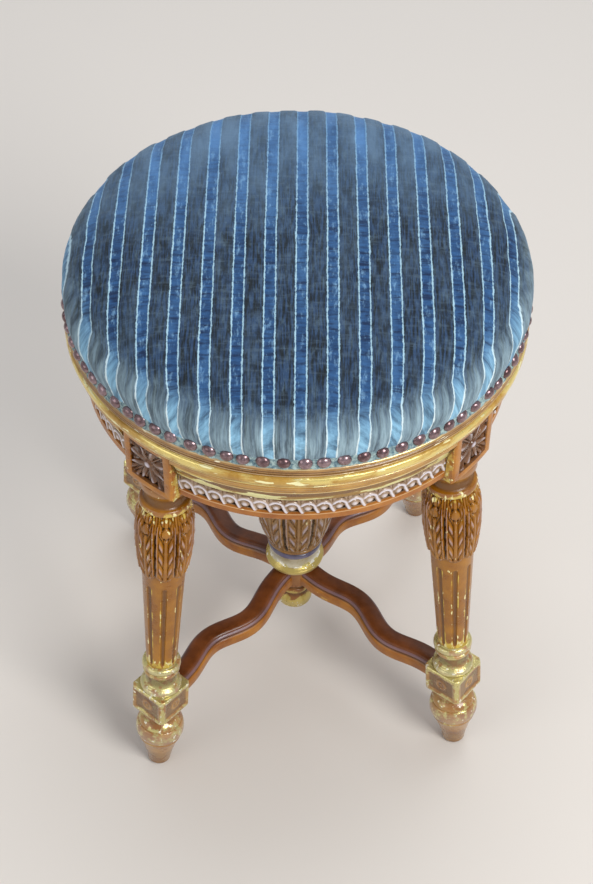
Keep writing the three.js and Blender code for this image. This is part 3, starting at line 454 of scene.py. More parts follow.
def revolve(name, start, parts, columns, gilt_knots, band=None, bore=None):
    """A turned piece about the Z axis from the profile of its parts. gilt_knots gives how much leaf is
    left, as height and share pairs. band, if given, is a function of heights, angles and radii that
    returns the relief, how deep its ground is sunk and where it lies. bore, if given, is the radius and
    the floor of a hole from above."""
    heights, radii = turned_profile(start, parts)
    angle = 2 * np.pi * np.arange(columns) / columns
    r = np.repeat(radii[:, None], columns, 1)
    z = np.repeat(heights[:, None], columns, 1)
    # Raised parts of the profile get a high carving value, for a painted highlight, and coves a low one, for
    # painted shade.
    mean = np.convolve(np.pad(radii, 12, mode="edge"), np.ones(25) / 25, "valid")
    carving = np.repeat(np.clip(0.58 + (radii - mean) / 6, 0.30, 0.98)[:, None], columns, 1)
    knots = np.array(gilt_knots, float)
    gilt = np.repeat(np.interp(heights, knots[:, 0], knots[:, 1])[:, None], columns, 1)
    if band is not None:
        relief, depth, share = band(z, np.repeat(angle[None, :], len(heights), 0), r)
        r = r - depth * (1 - relief)
        carving = carving * (1 - share) + share * np.clip(0.08 + 0.92 * relief, 0, 1)
    if bore is not None:
        hole = np.repeat(np.linspace(z[-1, 0], bore[1], 12)[:, None], columns, 1)
        z, r = np.concatenate([z, hole]), np.concatenate([r, np.full_like(hole, bore[0])])
        carving = np.concatenate([carving, np.full_like(hole, 0.45)])
        gilt = np.concatenate([gilt, np.zeros_like(hole)])
    points = np.stack([r * np.cos(angle), r * np.sin(angle), z], -1)
    return skin(name, points, False, True, [[0, 0, z[0, 0]], [0, 0, z[-1, 0]]], carving, gilt)


hub_gilding = worn_gilding(
    "gilded_beech_of_the_hub", ground="7E4A18", stain="9C6A34", leaf="C6B062", flake="F0EEDC",
    recess="4A3010", left=0.02, flakes=0.79, patch=80.0, painted_highlight="DEDAC0", painted_highlight_share=0.4, gloss=0.4)
# Round band under the column: its dark lavender is painted shade under the column's foot, with a painted
# sheen.
painted_shade_band = worn_gilding(
    "painted_shade_band_of_the_hub", ground="464052", stain="5E5A74", leaf="A89A80", flake="D8D6DC",
    recess="2A1E20", flakes=0.80, patch=80.0, painted_highlight="8C8AAE", painted_highlight_share=0.8, gloss=1.0)
worn_gesso = worn_gilding(
    "worn_gesso_of_the_hollow", ground="B0A482", stain="CCC4AC", leaf="D0C070", flake="F2F0E2",
    recess="7E6A48", flakes=0.60, patch=80.0, painted_highlight="F2F0E2", painted_highlight_share=0.7, gloss=0.8, chip_size=150.0)
hub = revolve("turned_hub", (44.2, 2.0), [
    (1.6, 6.4, 0.5, 1, 6), (4.2, 13.6, 0.8, 1, 10), (4.0, 16.4, 0.3, 1, 6), (4.2, 16.8, 0, 1, 4),
    (6.0, 15.0, 0.5, 1, 8), (3.4, 12.8, 0, 1, 4), (1.4, 12.3, 0, 1, 2), (1.2, 12.6, 0, 1, 2),
    (6.6, 12.8, 1.9, 0.5, 12), (1.6, 12.6, 0, 1, 2), (7.6, 17.8, -1.1, 1, 12), (1.8, 18.9, 0, 1, 3),
    (23.0, 18.9, 0, 1, 8), (2.0, 21.6, -0.3, 1, 5), (2.2, 25.8, 0.2, 1, 6), (4.6, 26.0, 1.0, 0.5, 12),
    (1.6, 24.8, 0, 1, 3), (10.0, 20.8, -1.4, 1, 18), (3.2, 21.6, 0, 1, 4), (0.8, 23.2, 0, 1, 3),
    (6.8, 23.6, 1.9, 0.5, 14), (1.0, 23.0, 0, 1, 3)], 96,
    [[44, 0.8], [52, 0.95], [62, 0.9], [68, 0.3], [73, 0.75], [79, 0.3], [106, 0.15], [113, 0.5], [116, 0.9],
     [121, 0.9], [124, 0.4], [133, 0.4], [144, 0.1]])
hub.data.materials.append(hub_gilding)
hub.data.materials.append(worn_gesso)
hub.data.materials.append(painted_shade_band)
bands = np.searchsorted([122.2, 134.2], centres(hub)[:, 2])
hub.data.polygons.foreach_set("material_index", bands.astype(np.int32))
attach(hub, "base")
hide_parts("stretcher_hub")

# Column
# A vase-shaped column of beech stands on the hub and houses the screw. Its swelling foot is carved with
# tall acanthus leaves, and it is bored from above. It is darker between the leaves, for brown varnish
# gathered there and for painted shade.

COLUMN_LEAVES, COLUMN_LEAF_LOW, COLUMN_LEAF_TALL, COLUMN_LEAF_DEPTH = 8, 150.5, 101.0, 3.4
BORE_RADIUS, BORE_FLOOR = 21.0, 183.45


def column_leaves(z, angle, r):
    """Tall leaves round the swelling part, over a second row that shows between them."""
    up = (z - COLUMN_LEAF_LOW) / COLUMN_LEAF_TALL
    inside = smooth(up, -0.01, 0.01) * (1 - smooth(up, 0.99, 1.01))
    relief = leaf_band(angle, np.clip(up, 0, 1), r, COLUMN_LEAVES)
    return np.where(inside > 0, relief, 1.0), COLUMN_LEAF_DEPTH * inside, inside


column_gilding = worn_gilding(
    "gilded_beech_of_the_column", ground="785020", stain="98703A", leaf="B8A064", flake="E6DDAA",
    recess="443018", flakes=0.72, patch=60.0, along=(1, 1, 0.4), painted_highlight="B8B2C4", painted_highlight_share=0.85, gloss=0.6)
column = revolve("carved_column", (143.5, 25.0), [
    (1.0, 25.5, 0, 1, 3), (2.6, 25.2, 0.5, 0.5, 6), (21.0, 33.2, 0.8, 1, 30), (48.0, 38.2, 1.2, 1, 60),
    (34.0, 35.6, 1.2, 1, 40), (30.0, 30.8, -0.2, 1, 24), (40.0, 27.4, -0.6, 1, 24), (9.0, 28.6, 0, 1, 6),
    (11.0, 28.8, 3.6, 0.5, 16), (3.0, 28.0, 0, 1, 3), (40.0, 28.2, 0, 1, 12), (12.0, 35.8, -1.0, 1, 12),
    (9.0, 35.9, 0, 1, 4)], 240,
    [[143, 0.1], [148, 0.15], [200, 0.4], [255, 0.4], [320, 0.3], [333, 0.7], [345, 0.3], [404, 0.3]],
    band=column_leaves, bore=(BORE_RADIUS, BORE_FLOOR))
column.data.materials.append(column_gilding)
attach(column, "base")
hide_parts("screw_column")

# Corner blocks
# A block of beech stands over each leg and is glued between two rails. Its curved face has a plain
# border round a sunk panel, with a leafy rosette carved in the panel's ground.

BLOCK_RADIUS, BLOCK_DEPTH, BLOCK_WIDTH = 184.4, 44.5, 50.0
BLOCK_LOW, BLOCK_HIGH = 373.05, 427.65
PANEL_DEPTH, ROSETTE_RISE = 4.4, 3.9


def rosette(across, up):
    """Height of the rosette from 0 to 1, at a distance across and up from the panel's middle: four long
    leaves towards the corners and four short ones between them, r(angle) = length cos(angle), lobed, each
    with a midrib and slanting veins, round a domed button."""
    radius = np.hypot(across, up)
    angle = np.arctan2(up * 0.88, across)
    made = np.zeros_like(radius)
    for shift, length, wide, high in ((0.0, 19.5, 7.0, 0.68), (np.pi / 4, 28.0, 9.4, 0.95)):
        off = np.abs(((angle - shift) / (np.pi / 2) + 0.5) % 1 - 0.5) * (np.pi / 2)
        along, side = radius * np.cos(off) / length, radius * np.sin(off)
        vein = np.abs(np.sin(np.pi * (along * 2.3 - side * 0.10))) ** 0.8
        half = wide * np.sin(np.pi * np.clip(along, 0, 1) ** 0.85) ** 0.7 * (0.52 + 0.48 * vein)
        body = smooth(half - side, 0.0, 1.0) * (along < 1)
        rib = np.exp(-(side / 0.6) ** 2) - 1.2 * np.exp(-((side - 1.4) / 0.5) ** 2)
        cupped = 0.38 + 0.40 * np.clip(side / np.maximum(half, 0.1), 0, 1)
        leafy = cupped + 0.20 * rib + 0.62 * (vein - 0.60) * smooth(side, 0.9, 2.6)
        made = np.maximum(made, high * body * leafy)
    button = 1.05 * np.sqrt(np.clip(1 - (radius / 4.4) ** 2, 0, 1))
    return np.clip(np.maximum(made, button), 0, 1.1)


def block_surface():
    """Points of one block on the +X side: a rounded rectangle carried up from the bottom to the top. The
    face is the arc x = sqrt(R squared - y squared), sunk by 4.4 mm within the border and raised again by
    the rosette."""
    half = BLOCK_WIDTH / 2 - 0.02
    face = np.linspace(-half + 0.7, half - 0.7, 129)
    face = np.concatenate([[-half, -half + 0.3], face, [half - 0.3, half]])
    back = np.linspace(half, -half, 8)
    side = np.linspace(0.15, 1, 6)
    heights = np.concatenate([
        [BLOCK_LOW, BLOCK_LOW + 0.3], np.linspace(BLOCK_LOW + 0.7, BLOCK_HIGH - 0.7, 139),
        [BLOCK_HIGH - 0.3, BLOCK_HIGH]])
    inner = BLOCK_RADIUS - BLOCK_DEPTH
    y, z = np.meshgrid(face, heights)
    edge = np.minimum(half - np.abs(y), np.minimum(z - BLOCK_LOW, BLOCK_HIGH - z))
    softened = 1.1 * (1 - smooth(edge, 0.0, 1.5))
    inside = smooth(edge, 7.2, 8.3)
    relief = rosette(y, z - (BLOCK_LOW + BLOCK_HIGH) / 2)
    pillow = 0.5 * np.sin(np.pi * np.clip(edge / 7.0, 0, 1))
    x = np.sqrt(BLOCK_RADIUS ** 2 - y ** 2) - 0.5 - softened + pillow
    x = x - inside * (PANEL_DEPTH - ROSETTE_RISE * relief)
    carving = np.where(inside > 0.5, 0.10 + 0.90 * np.clip(relief, 0, 1), 0.60)
    gilt = 0.62 * np.exp(-((half - np.abs(y)) / 1.6) ** 2) + 0.30 * np.exp(-((edge - 7.0) / 0.5) ** 2)
    first, last = x[:, :1], x[:, -1:]
    outline_x = np.concatenate([
        x, last + (inner - last) * side[None, :], np.full((len(heights), 6), inner),
        inner + (first - inner) * (side[None, :] - 0.15)], 1)
    outline_y = np.concatenate([
        y, np.full((len(heights), 6), half), np.repeat(back[None, 1:-1], len(heights), 0),
        np.full((len(heights), 6), -half)], 1)
    outline_z = np.repeat(heights[:, None], outline_x.shape[1], 1)
    rest = np.full((len(heights), 18), 0.5)
    gilt_rest = np.concatenate([[0.8, 0.5], np.full(14, 0.1), [0.5, 0.8]])
    gilt = np.concatenate([0.04 + gilt, np.repeat(gilt_rest[None, :], len(heights), 0)], 1)
    return np.stack([outline_x, outline_y, outline_z], -1), np.concatenate([carving, rest], 1), gilt


border_gilding = worn_gilding(
    "ochre_gilding_of_the_borders", ground="985A0C", stain="BC7C1E", leaf="D9C060", flake="F0EAB0",
    recess="2A140A", left=-0.02, flakes=0.70, patch=120.0, painted_highlight="CDB07C", painted_highlight_share=0.45, gloss=0.3)
panel_gilding = worn_gilding(
    "worn_gilding_of_the_rosettes", ground="5E3612", stain="7C5028", leaf="A88450", flake="E8E2CC",
    recess="1C0C04", flakes=0.74, patch=120.0, painted_highlight="D2CAD6", painted_highlight_share=0.9, burnish=0.45, gloss=1.0)
block_points, block_carving, block_gilt = block_surface()
for corner, i in CORNERS.items():
    turn = -3 * math.pi / 4 + i * math.pi / 2
    placed = about(block_points, turn)
    ends = [placed[0].mean(0), placed[-1].mean(0)]
    block = skin(f"rosette_block_{corner}", placed, False, True, ends, block_carving, block_gilt)
    block.data.materials.append(border_gilding)
    block.data.materials.append(panel_gilding)
    middle = about(centres(block), -turn)
    from_end = np.minimum(middle[:, 2] - BLOCK_LOW, BLOCK_HIGH - middle[:, 2])
    from_edge = np.minimum(BLOCK_WIDTH / 2 - np.abs(middle[:, 1]), from_end)
    panel = (from_edge > 7.4) & (middle[:, 0] > BLOCK_RADIUS - 12)
    block.data.polygons.foreach_set("material_index", panel.astype(np.int32))
    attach(block, "base")
    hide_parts(f"corner_block_{corner}")

# Apron rails
# Four curved rails of beech fill the apron between the blocks. From the bottom, each has a plain fillet,
# a band of guilloche carved in a sunk channel, a flat band rubbed to the brown, and a gilt cyma.

GUILLOCHE_PITCH = 12.3
RAIL_LOW, RAIL_HIGH, RAIL_INNER, RAIL_MIDDLE = 376.5, 427.7, 148.2, 178.0
CHANNEL_LOW, CHANNEL_HEIGHT, CHANNEL_GROUND = RAIL_LOW + 7.9, 15.3, 172.6
BAND_RISE, BAND_RADIUS = 3.3, 174.0


def guilloche(along, up):
    """Height of the carved band from 0 to 1. In each pitch a bead of radius 4.2 mm stands low, and a
    ribbon rises behind its left side, arches over it as a circle of radius 5.5 mm and runs down to the
    right as a slanting line, over the start of the next. A small leaf fills the gap at the top."""
    base = (along / GUILLOCHE_PITCH % 1 - 0.5) * GUILLOCHE_PITCH
    bead = np.sqrt(np.clip(1 - ((base + 0.6) ** 2 + (up - 4.9) ** 2) / 4.2 ** 2, 0, 1))
    ribbon = np.zeros_like(base)
    for x in (base - GUILLOCHE_PITCH, base, base + GUILLOCHE_PITCH):
        arch = np.abs(np.hypot(x + 0.4, (up - 5.4) * 0.98) - 5.5)
        rising = np.where(x < -0.4, 0.55 + 0.45 * smooth(up, 5.0, 9.0), 1.0)
        upper = np.clip(1 - (arch / 2.4) ** 2, 0, 1) ** 0.6 * (up > 5.4) * rising
        slope = np.abs(x - 5.1 - 0.42 * (5.4 - up)) / 1.08
        lower = np.clip(1 - (slope / 2.4) ** 2, 0, 1) ** 0.6 * (up <= 5.4)
        ribbon = np.maximum(ribbon, np.maximum(upper, lower))
    between = ((along / GUILLOCHE_PITCH + 0.5) % 1 - 0.5) * GUILLOCHE_PITCH
    leaf = smooth(0.55 * (up - 8.6) + 0.6 - np.abs(between), -0.2, 0.6) * smooth(up, 9.0, 10.4)
    leaf = leaf * (0.72 - 0.35 * np.exp(-(between / 0.45) ** 2))
    return np.clip(np.maximum.reduce([0.97 * bead, ribbon, leaf]), 0, 1)


def rail_surface():
    """Points of one rail, with its middle on +X: a moulded section in radius and height, carried round
    the axis from block to block, with the guilloche added to the radius in the channel."""
    band = np.stack([
        np.full(40, CHANNEL_GROUND), CHANNEL_LOW + np.linspace(0, CHANNEL_HEIGHT, 40)], -1)
    sloped = [[176.2 + 3.3 * k / 5, 401.0 + 10.9 * k / 5] for k in range(1, 6)]
    cyma = np.linspace(0, 1, 18)
    cyma = np.stack([180.9 + 5.4 * cyma - 1.1 * np.sin(2 * np.pi * cyma), 414.4 + 10.8 * cyma], -1)
    section = np.concatenate([
        [[RAIL_INNER, RAIL_LOW], [175.0, RAIL_LOW]],
        [[175.7, RAIL_LOW + 0.4], [176.0, RAIL_LOW + 1.2]], [[176.0, RAIL_LOW + k] for k in (2.5, 4.0, 5.5)],
        [[175.9, RAIL_LOW + 6.6], [175.4, RAIL_LOW + 7.3], [174.0, RAIL_LOW + 7.7]],
        band, [[174.6, 399.8], [175.8, 400.2], [176.2, 401.0]], sloped,
        [[179.3, 412.3], [179.3, 412.9], [180.4, 413.2], [180.9, 413.8]], cyma,
        [[186.7, 425.8], [186.8, 426.6], [186.4, 427.2]],
        [[185.9, RAIL_HIGH - 0.03], [RAIL_INNER, RAIL_HIGH - 0.03]]])
    carved = (section[:, 1] >= RAIL_LOW + 7.85) & (section[:, 1] <= RAIL_LOW + 23.3) & (section[:, 0] < 173)
    reach = np.pi / 4 - math.asin((BLOCK_WIDTH / 2 + 0.3) / RAIL_MIDDLE)
    angle = np.linspace(-reach, reach, 441)
    r = np.repeat(section[:, :1], len(angle), 1)
    z = np.repeat(section[:, 1:], len(angle), 1)
    relief = guilloche(BAND_RADIUS * angle[None, :], z - CHANNEL_LOW) * carved[:, None]
    r = r + BAND_RISE * relief
    carving = np.where(carved[:, None], 0.10 + 0.88 * relief, 0.62)
    # Painted highlight and painted shade: three edges get a high carving value, which paints pale lines, and
    # two a low one, which paints dark lines.
    for levels, share in (((RAIL_LOW + 6.6, 414.2, 426.0), 0.93), ((412.7, 399.8), 0.34)):
        nearest = np.min(np.abs(section[:, 1:] - np.array(levels)[None, :]), 1)
        carving = np.where((nearest < 0.55)[:, None] & ~carved[:, None], share, carving)
    gilt = np.interp(section[:, 1], [376, 379, 383, 386, 398, 401, 404, 410, 413, 416, 421, 427],
                     [0.05, 0.1, 0.5, 0.2, 0.2, 0.75, 1.05, 0.15, 0.55, 0.45, 0.2, 0.3])
    points = np.stack([r * np.cos(angle), r * np.sin(angle), z], -1)
    return points, carving, np.repeat(gilt[:, None], len(angle), 1)


carved_gilding = worn_gilding(
    "carved_gilding_of_the_guilloche", ground="86684A", stain="B49C84", leaf="C4B490", flake="EFEBE0",
    recess="22160E", flakes=0.72, patch=130.0, painted_highlight="E6E2EC", painted_highlight_share=0.95, burnish=0.45, gloss=1.0)
flat_gilding = worn_gilding(
    "rubbed_gilding_of_the_flat_band", ground="6C440E", stain="8A6220", leaf="AC8438", flake="F2EEAC",
    recess="3A2408", flakes=0.62, patch=60.0, along=(0.25, 0.25, 1.2), painted_highlight="C8B89A",
    chip_size=140.0, gloss=0.3)
cyma_gilding = worn_gilding(
    "ochre_gilding_of_the_cyma", ground="9C6E2C", stain="BE9046", leaf="D6B458", flake="F6EEC0",
    recess="4A2C10", left=0.04, flakes=0.72, patch=60.0, along=(0.3, 0.3, 1.2), painted_highlight="F2E6B8",
    painted_highlight_share=0.7, gloss=0.4)
fillet_gilding = worn_gilding(
    "red_clay_of_the_fillet", ground="925218", stain="B4742E", leaf="C89448", flake="F0E4B0",
    recess="4A2410", flakes=0.73, patch=60.0, along=(0.3, 0.3, 1.2), painted_highlight="EFDDB0",
    painted_highlight_share=0.8)
rail_points, rail_carving, rail_gilt = rail_surface()
for side_name, i in {"front": 0, "right": 1, "rear": 2, "left": 3}.items():
    placed = about(rail_points, -math.pi / 2 + i * math.pi / 2)
    ends = [placed[:, 0].mean(0), placed[:, -1].mean(0)]
    rail = skin(f"carved_rail_{side_name}", placed, True, False, ends, rail_carving, rail_gilt)
    for finish in (fillet_gilding, carved_gilding, flat_gilding, cyma_gilding):
        rail.data.materials.append(finish)
    bands = np.searchsorted([384.3, 399.9, 412.4], centres(rail)[:, 2])
    rail.data.polygons.foreach_set("material_index", bands.astype(np.int32))
    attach(rail, "base")
    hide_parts(f"apron_rail_{side_name}")

# Moulded ring
# A turned and moulded ring of beech is glued on top of the rails and blocks and hides their joints.
# It keeps most of its leaf, mottled and scratched.


def ring(name, section, columns, swells, gilt):
    """A closed ring about the Z axis from a section of radius and height pairs. swells and gilt say how
    raised each pair of the section is, and how much leaf is left on it. The swells also set where the
    gilding paints a highlight and where it paints shade."""
    section = np.array(section, float)
    angle = 2 * np.pi * np.arange(columns) / columns
    r = np.repeat(section[:, :1], columns, 1)
    z = np.repeat(section[:, 1:], columns, 1)
    points = np.stack([r * np.cos(angle), r * np.sin(angle), z], -1)
    spread = lambda values: np.repeat(np.array(values, float)[:, None], columns, 1)
    return skin(name, points, True, True, (), spread(swells), spread(gilt))


bright_gilding = worn_gilding(
    "bright_gilding_of_the_ring", ground="A87C2C", stain="CAA450", leaf="E8D280", flake="F6F0B8",
    recess="4A3010", left=0.05, flakes=0.68, patch=80.0, along=(0.22, 0.22, 1), painted_highlight="F0E6B0",
    painted_highlight_share=0.5, chip_size=300.0, gloss=0.5)
arc = np.linspace(-0.5 * np.pi, 0.5 * np.pi, 15)
section = ([[140.0, 428.05], [186.6, 428.05], [187.2, 428.5], [187.3, 429.2], [186.6, 429.8], [186.7, 430.3]]
           + [[187.4 + 2.0 * math.cos(a), 434.9 + 4.3 * math.sin(a)] for a in arc]
           + [[187.2, 439.6], [186.4, 440.0], [140.0, 440.0]])
swells = [0.4, 0.4, 0.9, 0.9, 0.2, 0.3] + [0.5 + 0.25 * math.cos(a) for a in arc] + [0.6, 0.5, 0.4]
gilt = [0.2, 0.4, 0.6, 0.6, 0.3, 0.4] + [0.56] * 15 + [0.4, 0.3, 0.2]
cap = ring("moulded_cap_ring", section, 360, swells, gilt)
cap.data.materials.append(bright_gilding)
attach(cap, "base")
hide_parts("cap_ring")

# Screw gear inside the frame and under the seat
# Two sawn cross rails carry a cast iron nut, and the iron screw turns in it. These pieces keep their
# CAD shape: greased iron, and beech left as it came from the saw.


def sawn_beech():
    """Unfinished beech, sawn: pale tan with 12 mm bands of growth, dark flecks 1 mm wide and 11 mm long,
    and dust that keeps it matt."""
    material, tree = blank_material("sawn_beech")
    place = add_node(tree, "ShaderNodeTexCoord").outputs["Object"]
    drawn = add_node(tree, "ShaderNodeMapping", {"Vector": place, "Scale": (1, 9, 9)}).outputs[0]
    growth = add_node(tree, "ShaderNodeTexNoise", {
        "Vector": drawn, "Scale": 9.0, "Detail": 5.0, "Roughness": 0.6})
    fleck = add_node(tree, "ShaderNodeTexNoise", {"Vector": drawn, "Scale": 90.0, "Detail": 2.0})
    tone = add_node(tree, "ShaderNodeMix", {
        "Factor": growth.outputs[0], "A": linear("8A6A42"), "B": linear("C0A070")}, data_type="RGBA")
    flecked = add_node(tree, "ShaderNodeMapRange", {
        "Value": fleck.outputs[0], "From Min": 0.58, "From Max": 0.7, "To Max": 0.5})
    colour = add_node(tree, "ShaderNodeMix", {
        "Factor": flecked.outputs[0], "A": tone.outputs["Result"], "B": linear("5E4024")}, data_type="RGBA")
    bump = add_node(tree, "ShaderNodeBump", {
        "Height": growth.outputs[0], "Strength": 0.2, "Distance": 0.0005})
    shader = add_node(tree, "ShaderNodeBsdfPrincipled", {
        "Base Color": colour.outputs["Result"], "Roughness": 0.75, "Normal": bump.outputs[0]})
    add_node(tree, "ShaderNodeOutputMaterial", {"Surface": shader.outputs[0]})
    return material


def greased_iron():
    """Cast and turned iron, darkened by old grease: dark grey, glossy where wet and with rust in 4 mm
    patches."""
    material, tree = blank_material("greased_iron")
    place = add_node(tree, "ShaderNodeTexCoord").outputs["Object"]
    patch = add_node(tree, "ShaderNodeTexNoise", {
        "Vector": place, "Scale": 250.0, "Detail": 6.0, "Roughness": 0.65})
    rust = add_node(tree, "ShaderNodeMapRange", {
        "Value": patch.outputs[0], "From Min": 0.52, "From Max": 0.66})
    colour = add_node(tree, "ShaderNodeMix", {
        "Factor": rust.outputs[0], "A": linear("4A4744"), "B": linear("4E2E1C")}, data_type="RGBA")
    metal = add_node(tree, "ShaderNodeMapRange", {"Value": rust.outputs[0], "To Min": 0.9, "To Max": 0.15})
    rough = add_node(tree, "ShaderNodeMapRange", {"Value": patch.outputs[0], "To Min": 0.25, "To Max": 0.7})
    bump = add_node(tree, "ShaderNodeBump", {
        "Height": patch.outputs[0], "Strength": 0.15, "Distance": 0.0004})
    shader = add_node(tree, "ShaderNodeBsdfPrincipled", {
        "Base Color": colour.outputs["Result"], "Metallic": metal.outputs[0], "Roughness": rough.outputs[0],
        "Normal": bump.outputs[0]})
    add_node(tree, "ShaderNodeOutputMaterial", {"Surface": shader.outputs[0]})
    return material


for finish, nodes in (
        (sawn_beech(), ("nut_rail_lower", "nut_rail_upper", "seat_board")),
        (greased_iron(), (
            "screw_nut", "nut_screw_1", "nut_screw_2", "nut_screw_3", "nut_screw_4", "stop_washer",
            "stop_bolt", "height_screw", "seat_flange", "flange_screw_1", "flange_screw_2",
            "flange_screw_3", "flange_screw_4"))):
    for name in nodes:
        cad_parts[name].data.materials.clear()
        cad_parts[name].data.materials.append(finish)

# Seat rim
# A turned ring of beech holds the seat board. Its moulding overhangs the frame by a hair, and the cover
# is nailed to the step above it. Leaf survives on its upper edge and along a thin bead.

rim_gilding = worn_gilding(
    "tan_gilding_of_the_rim", ground="8C6432", stain="AC824C", leaf="CFB06C", flake="F4ECCC",
    recess="3E2416", left=0.02, flakes=0.69, patch=70.0, along=(0.2, 0.2, 1.4), painted_highlight="F0E4C8",
    painted_highlight_share=0.7, gloss=0.4)
section = [
    [150.0, 441.2], [186.4, 441.2], [187.4, 441.5], [188.1, 442.0], [188.3, 442.6], [188.0, 443.2],
    [186.6, 443.5], [186.6, 444.1], [188.0, 444.4], [188.7, 445.0], [189.0, 445.7], [189.1, 446.4],
    [188.5, 447.0], [188.5, 447.5], [189.1, 447.9], [189.0, 449.2], [188.4, 450.1], [187.6, 450.5],
    [186.6, 450.6], [184.0, 450.6], [184.0, 455.0], [165.3, 455.0], [165.3, 445.2], [150.0, 445.2]]
swells = [0.3, 0.4, 0.6, 0.9, 0.95, 0.5, 0.1, 0.1, 0.5, 0.62, 0.62, 0.6,
          0.2, 0.2, 0.62, 0.7, 0.88, 0.84, 0.7, 0.5, 0.5, 0.5, 0.3, 0.3]
gilt = [0.2, 0.3, 0.4, 0.6, 0.5, 0.3, 0.1, 0.1, 0.3, 0.4, 0.4, 0.3,
        0.1, 0.1, 0.4, 0.5, 0.6, 0.6, 0.6, 0.4, 0.2, 0.2, 0.2, 0.2]
rim = ring("moulded_rim", section, 360, swells, gilt)
rim.data.materials.append(rim_gilding)
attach(rim, "seat")
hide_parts("seat_rim")

# Stuffed pad
# Webbing, horsehair and wadding on the board, covered with a striped velvet. The cover is drawn down
# over the edge and nailed to the rim, so the pad is full at the side and low in its crown.

PAD_COLUMNS, PAD_FLOOR = 256, 455.4
VOXEL, PINNED_BELOW, CLOTH_FRAMES, KEPT_WITHIN = 0.0045, 0.4612, 20, 0.003
SIDE_BEGINS, GROUND_PROUD, HEM_HIGH = 184, 0.9, 463.0
STRIPE_PITCH, STRIPE_WIDTH, STRIPE_OFFSET, STRIPE_HEADING = 24.0, 8.6, 3.4, math.radians(-5.5)


def pad_profile():
    """Radii and heights of the pad from the hem under the nails to the middle of the crown, about 1.5 mm
    apart: a curve through the points of the stuffed shape, each given as a radius and a height."""
    knots = np.array([
        [186.4, 450.3], [186.4, 453.5], [186.2, 457.5], [186.4, 460.2], [187.4, 462.6], [189.6, 467.6],
        [191.0, 473.6], [191.2, 479.0], [190.0, 485.6], [185.2, 493.6], [177.2, 500.2], [164.8, 505.2],
        [138.0, 509.4], [99.6, 511.9], [51.7, 513.3], [0.0, 513.7]])
    chord = np.concatenate([[0], np.cumsum(np.hypot(*np.diff(knots, axis=0).T))])
    where = np.arange(0, chord[-1], 1.5)
    curve = np.stack([np.interp(where, chord, knots[:, k]) for k in range(2)], -1)
    kernel = np.hanning(11)[1:-1]
    kernel = kernel / kernel.sum()
    padded = np.concatenate([np.repeat(curve[:1], 4, 0), curve, np.repeat(curve[-1:], 4, 0)])
    return np.stack([np.convolve(padded[:, k], kernel, "valid") for k in range(2)], -1)


profile = pad_profile()
profile[-1, 0] = 0.6
angle = 2 * np.pi * np.arange(PAD_COLUMNS) / PAD_COLUMNS
underside = np.array([[150.0, PAD_FLOOR], [176.0, 455.3], [182.0, 455.2], [183.4, 454.4], [183.6, 451.0]])
whole = np.concatenate([underside, profile])
shrink = np.where(np.arange(len(whole)) > 8, 0.9985, 1.0)[:, None]
pad_points = np.stack([
    whole[:, :1] * shrink * np.cos(angle), whole[:, :1] * shrink * np.sin(angle),
    np.repeat(whole[:, 1:], PAD_COLUMNS, 1)], -1)
crown = float(whole[-1, 1])
pad = skin("velvet_pad", pad_points, False, True, [[0, 0, PAD_FLOOR], [0, 0, crown]], sharp=60)


def stuffed(piece):
    """Fills the cover as stuffing does: it is remeshed to 4.5 mm, blown up as cloth for 20 frames with no
    weight, and each point is then kept within 3 mm of where it began by length = limit tanh(length /
    limit). The nailed edge and the underside stay pinned."""
    bpy.context.view_layer.objects.active = piece
    remesh = piece.modifiers.new("remesh", "REMESH")
    remesh.mode = "VOXEL"
    remesh.voxel_size = VOXEL
    bpy.ops.object.modifier_apply(modifier="remesh")
    start = np.zeros(len(piece.data.vertices) * 3, np.float32)
    piece.data.vertices.foreach_get("co", start)
    start = start.reshape(-1, 3)
    pinned = piece.vertex_groups.new(name="nailed")
    pinned.add(np.nonzero(start[:, 2] < PINNED_BELOW)[0].tolist(), 1.0, "REPLACE")
    cloth = piece.modifiers.new("cloth", "CLOTH")
    cloth.settings.vertex_group_mass = "nailed"
    cloth.settings.use_pressure = True
    cloth.settings.uniform_pressure_force = 4.0
    cloth.settings.quality = 5
    cloth.settings.tension_stiffness = 25
    cloth.settings.compression_stiffness = 25
    cloth.settings.bending_stiffness = 1.5
    cloth.settings.effector_weights.gravity = 0.0
    cloth.point_cache.frame_start, cloth.point_cache.frame_end = 1, CLOTH_FRAMES
    for step in range(1, CLOTH_FRAMES + 1):
        bpy.context.scene.frame_set(step)
    bpy.ops.object.modifier_apply(modifier="cloth")
    bpy.context.scene.frame_set(1)
    moved = np.zeros(len(piece.data.vertices) * 3, np.float32)
    piece.data.vertices.foreach_get("co", moved)
    shift = moved.reshape(-1, 3) - start
    length = np.linalg.norm(shift, axis=1, keepdims=True)
    shift = shift * (KEPT_WITHIN * np.tanh(length / KEPT_WITHIN) / np.maximum(length, 1e-9))
    piece.data.vertices.foreach_set("co", (start + shift).astype(np.float32).ravel())
    piece.vertex_groups.clear()
    finer = piece.modifiers.new("finer", "SUBSURF")
    finer.levels = finer.render_levels = 1
    bpy.ops.object.modifier_apply(modifier="finer")
    piece.data.shade_smooth()


stuffed(pad)


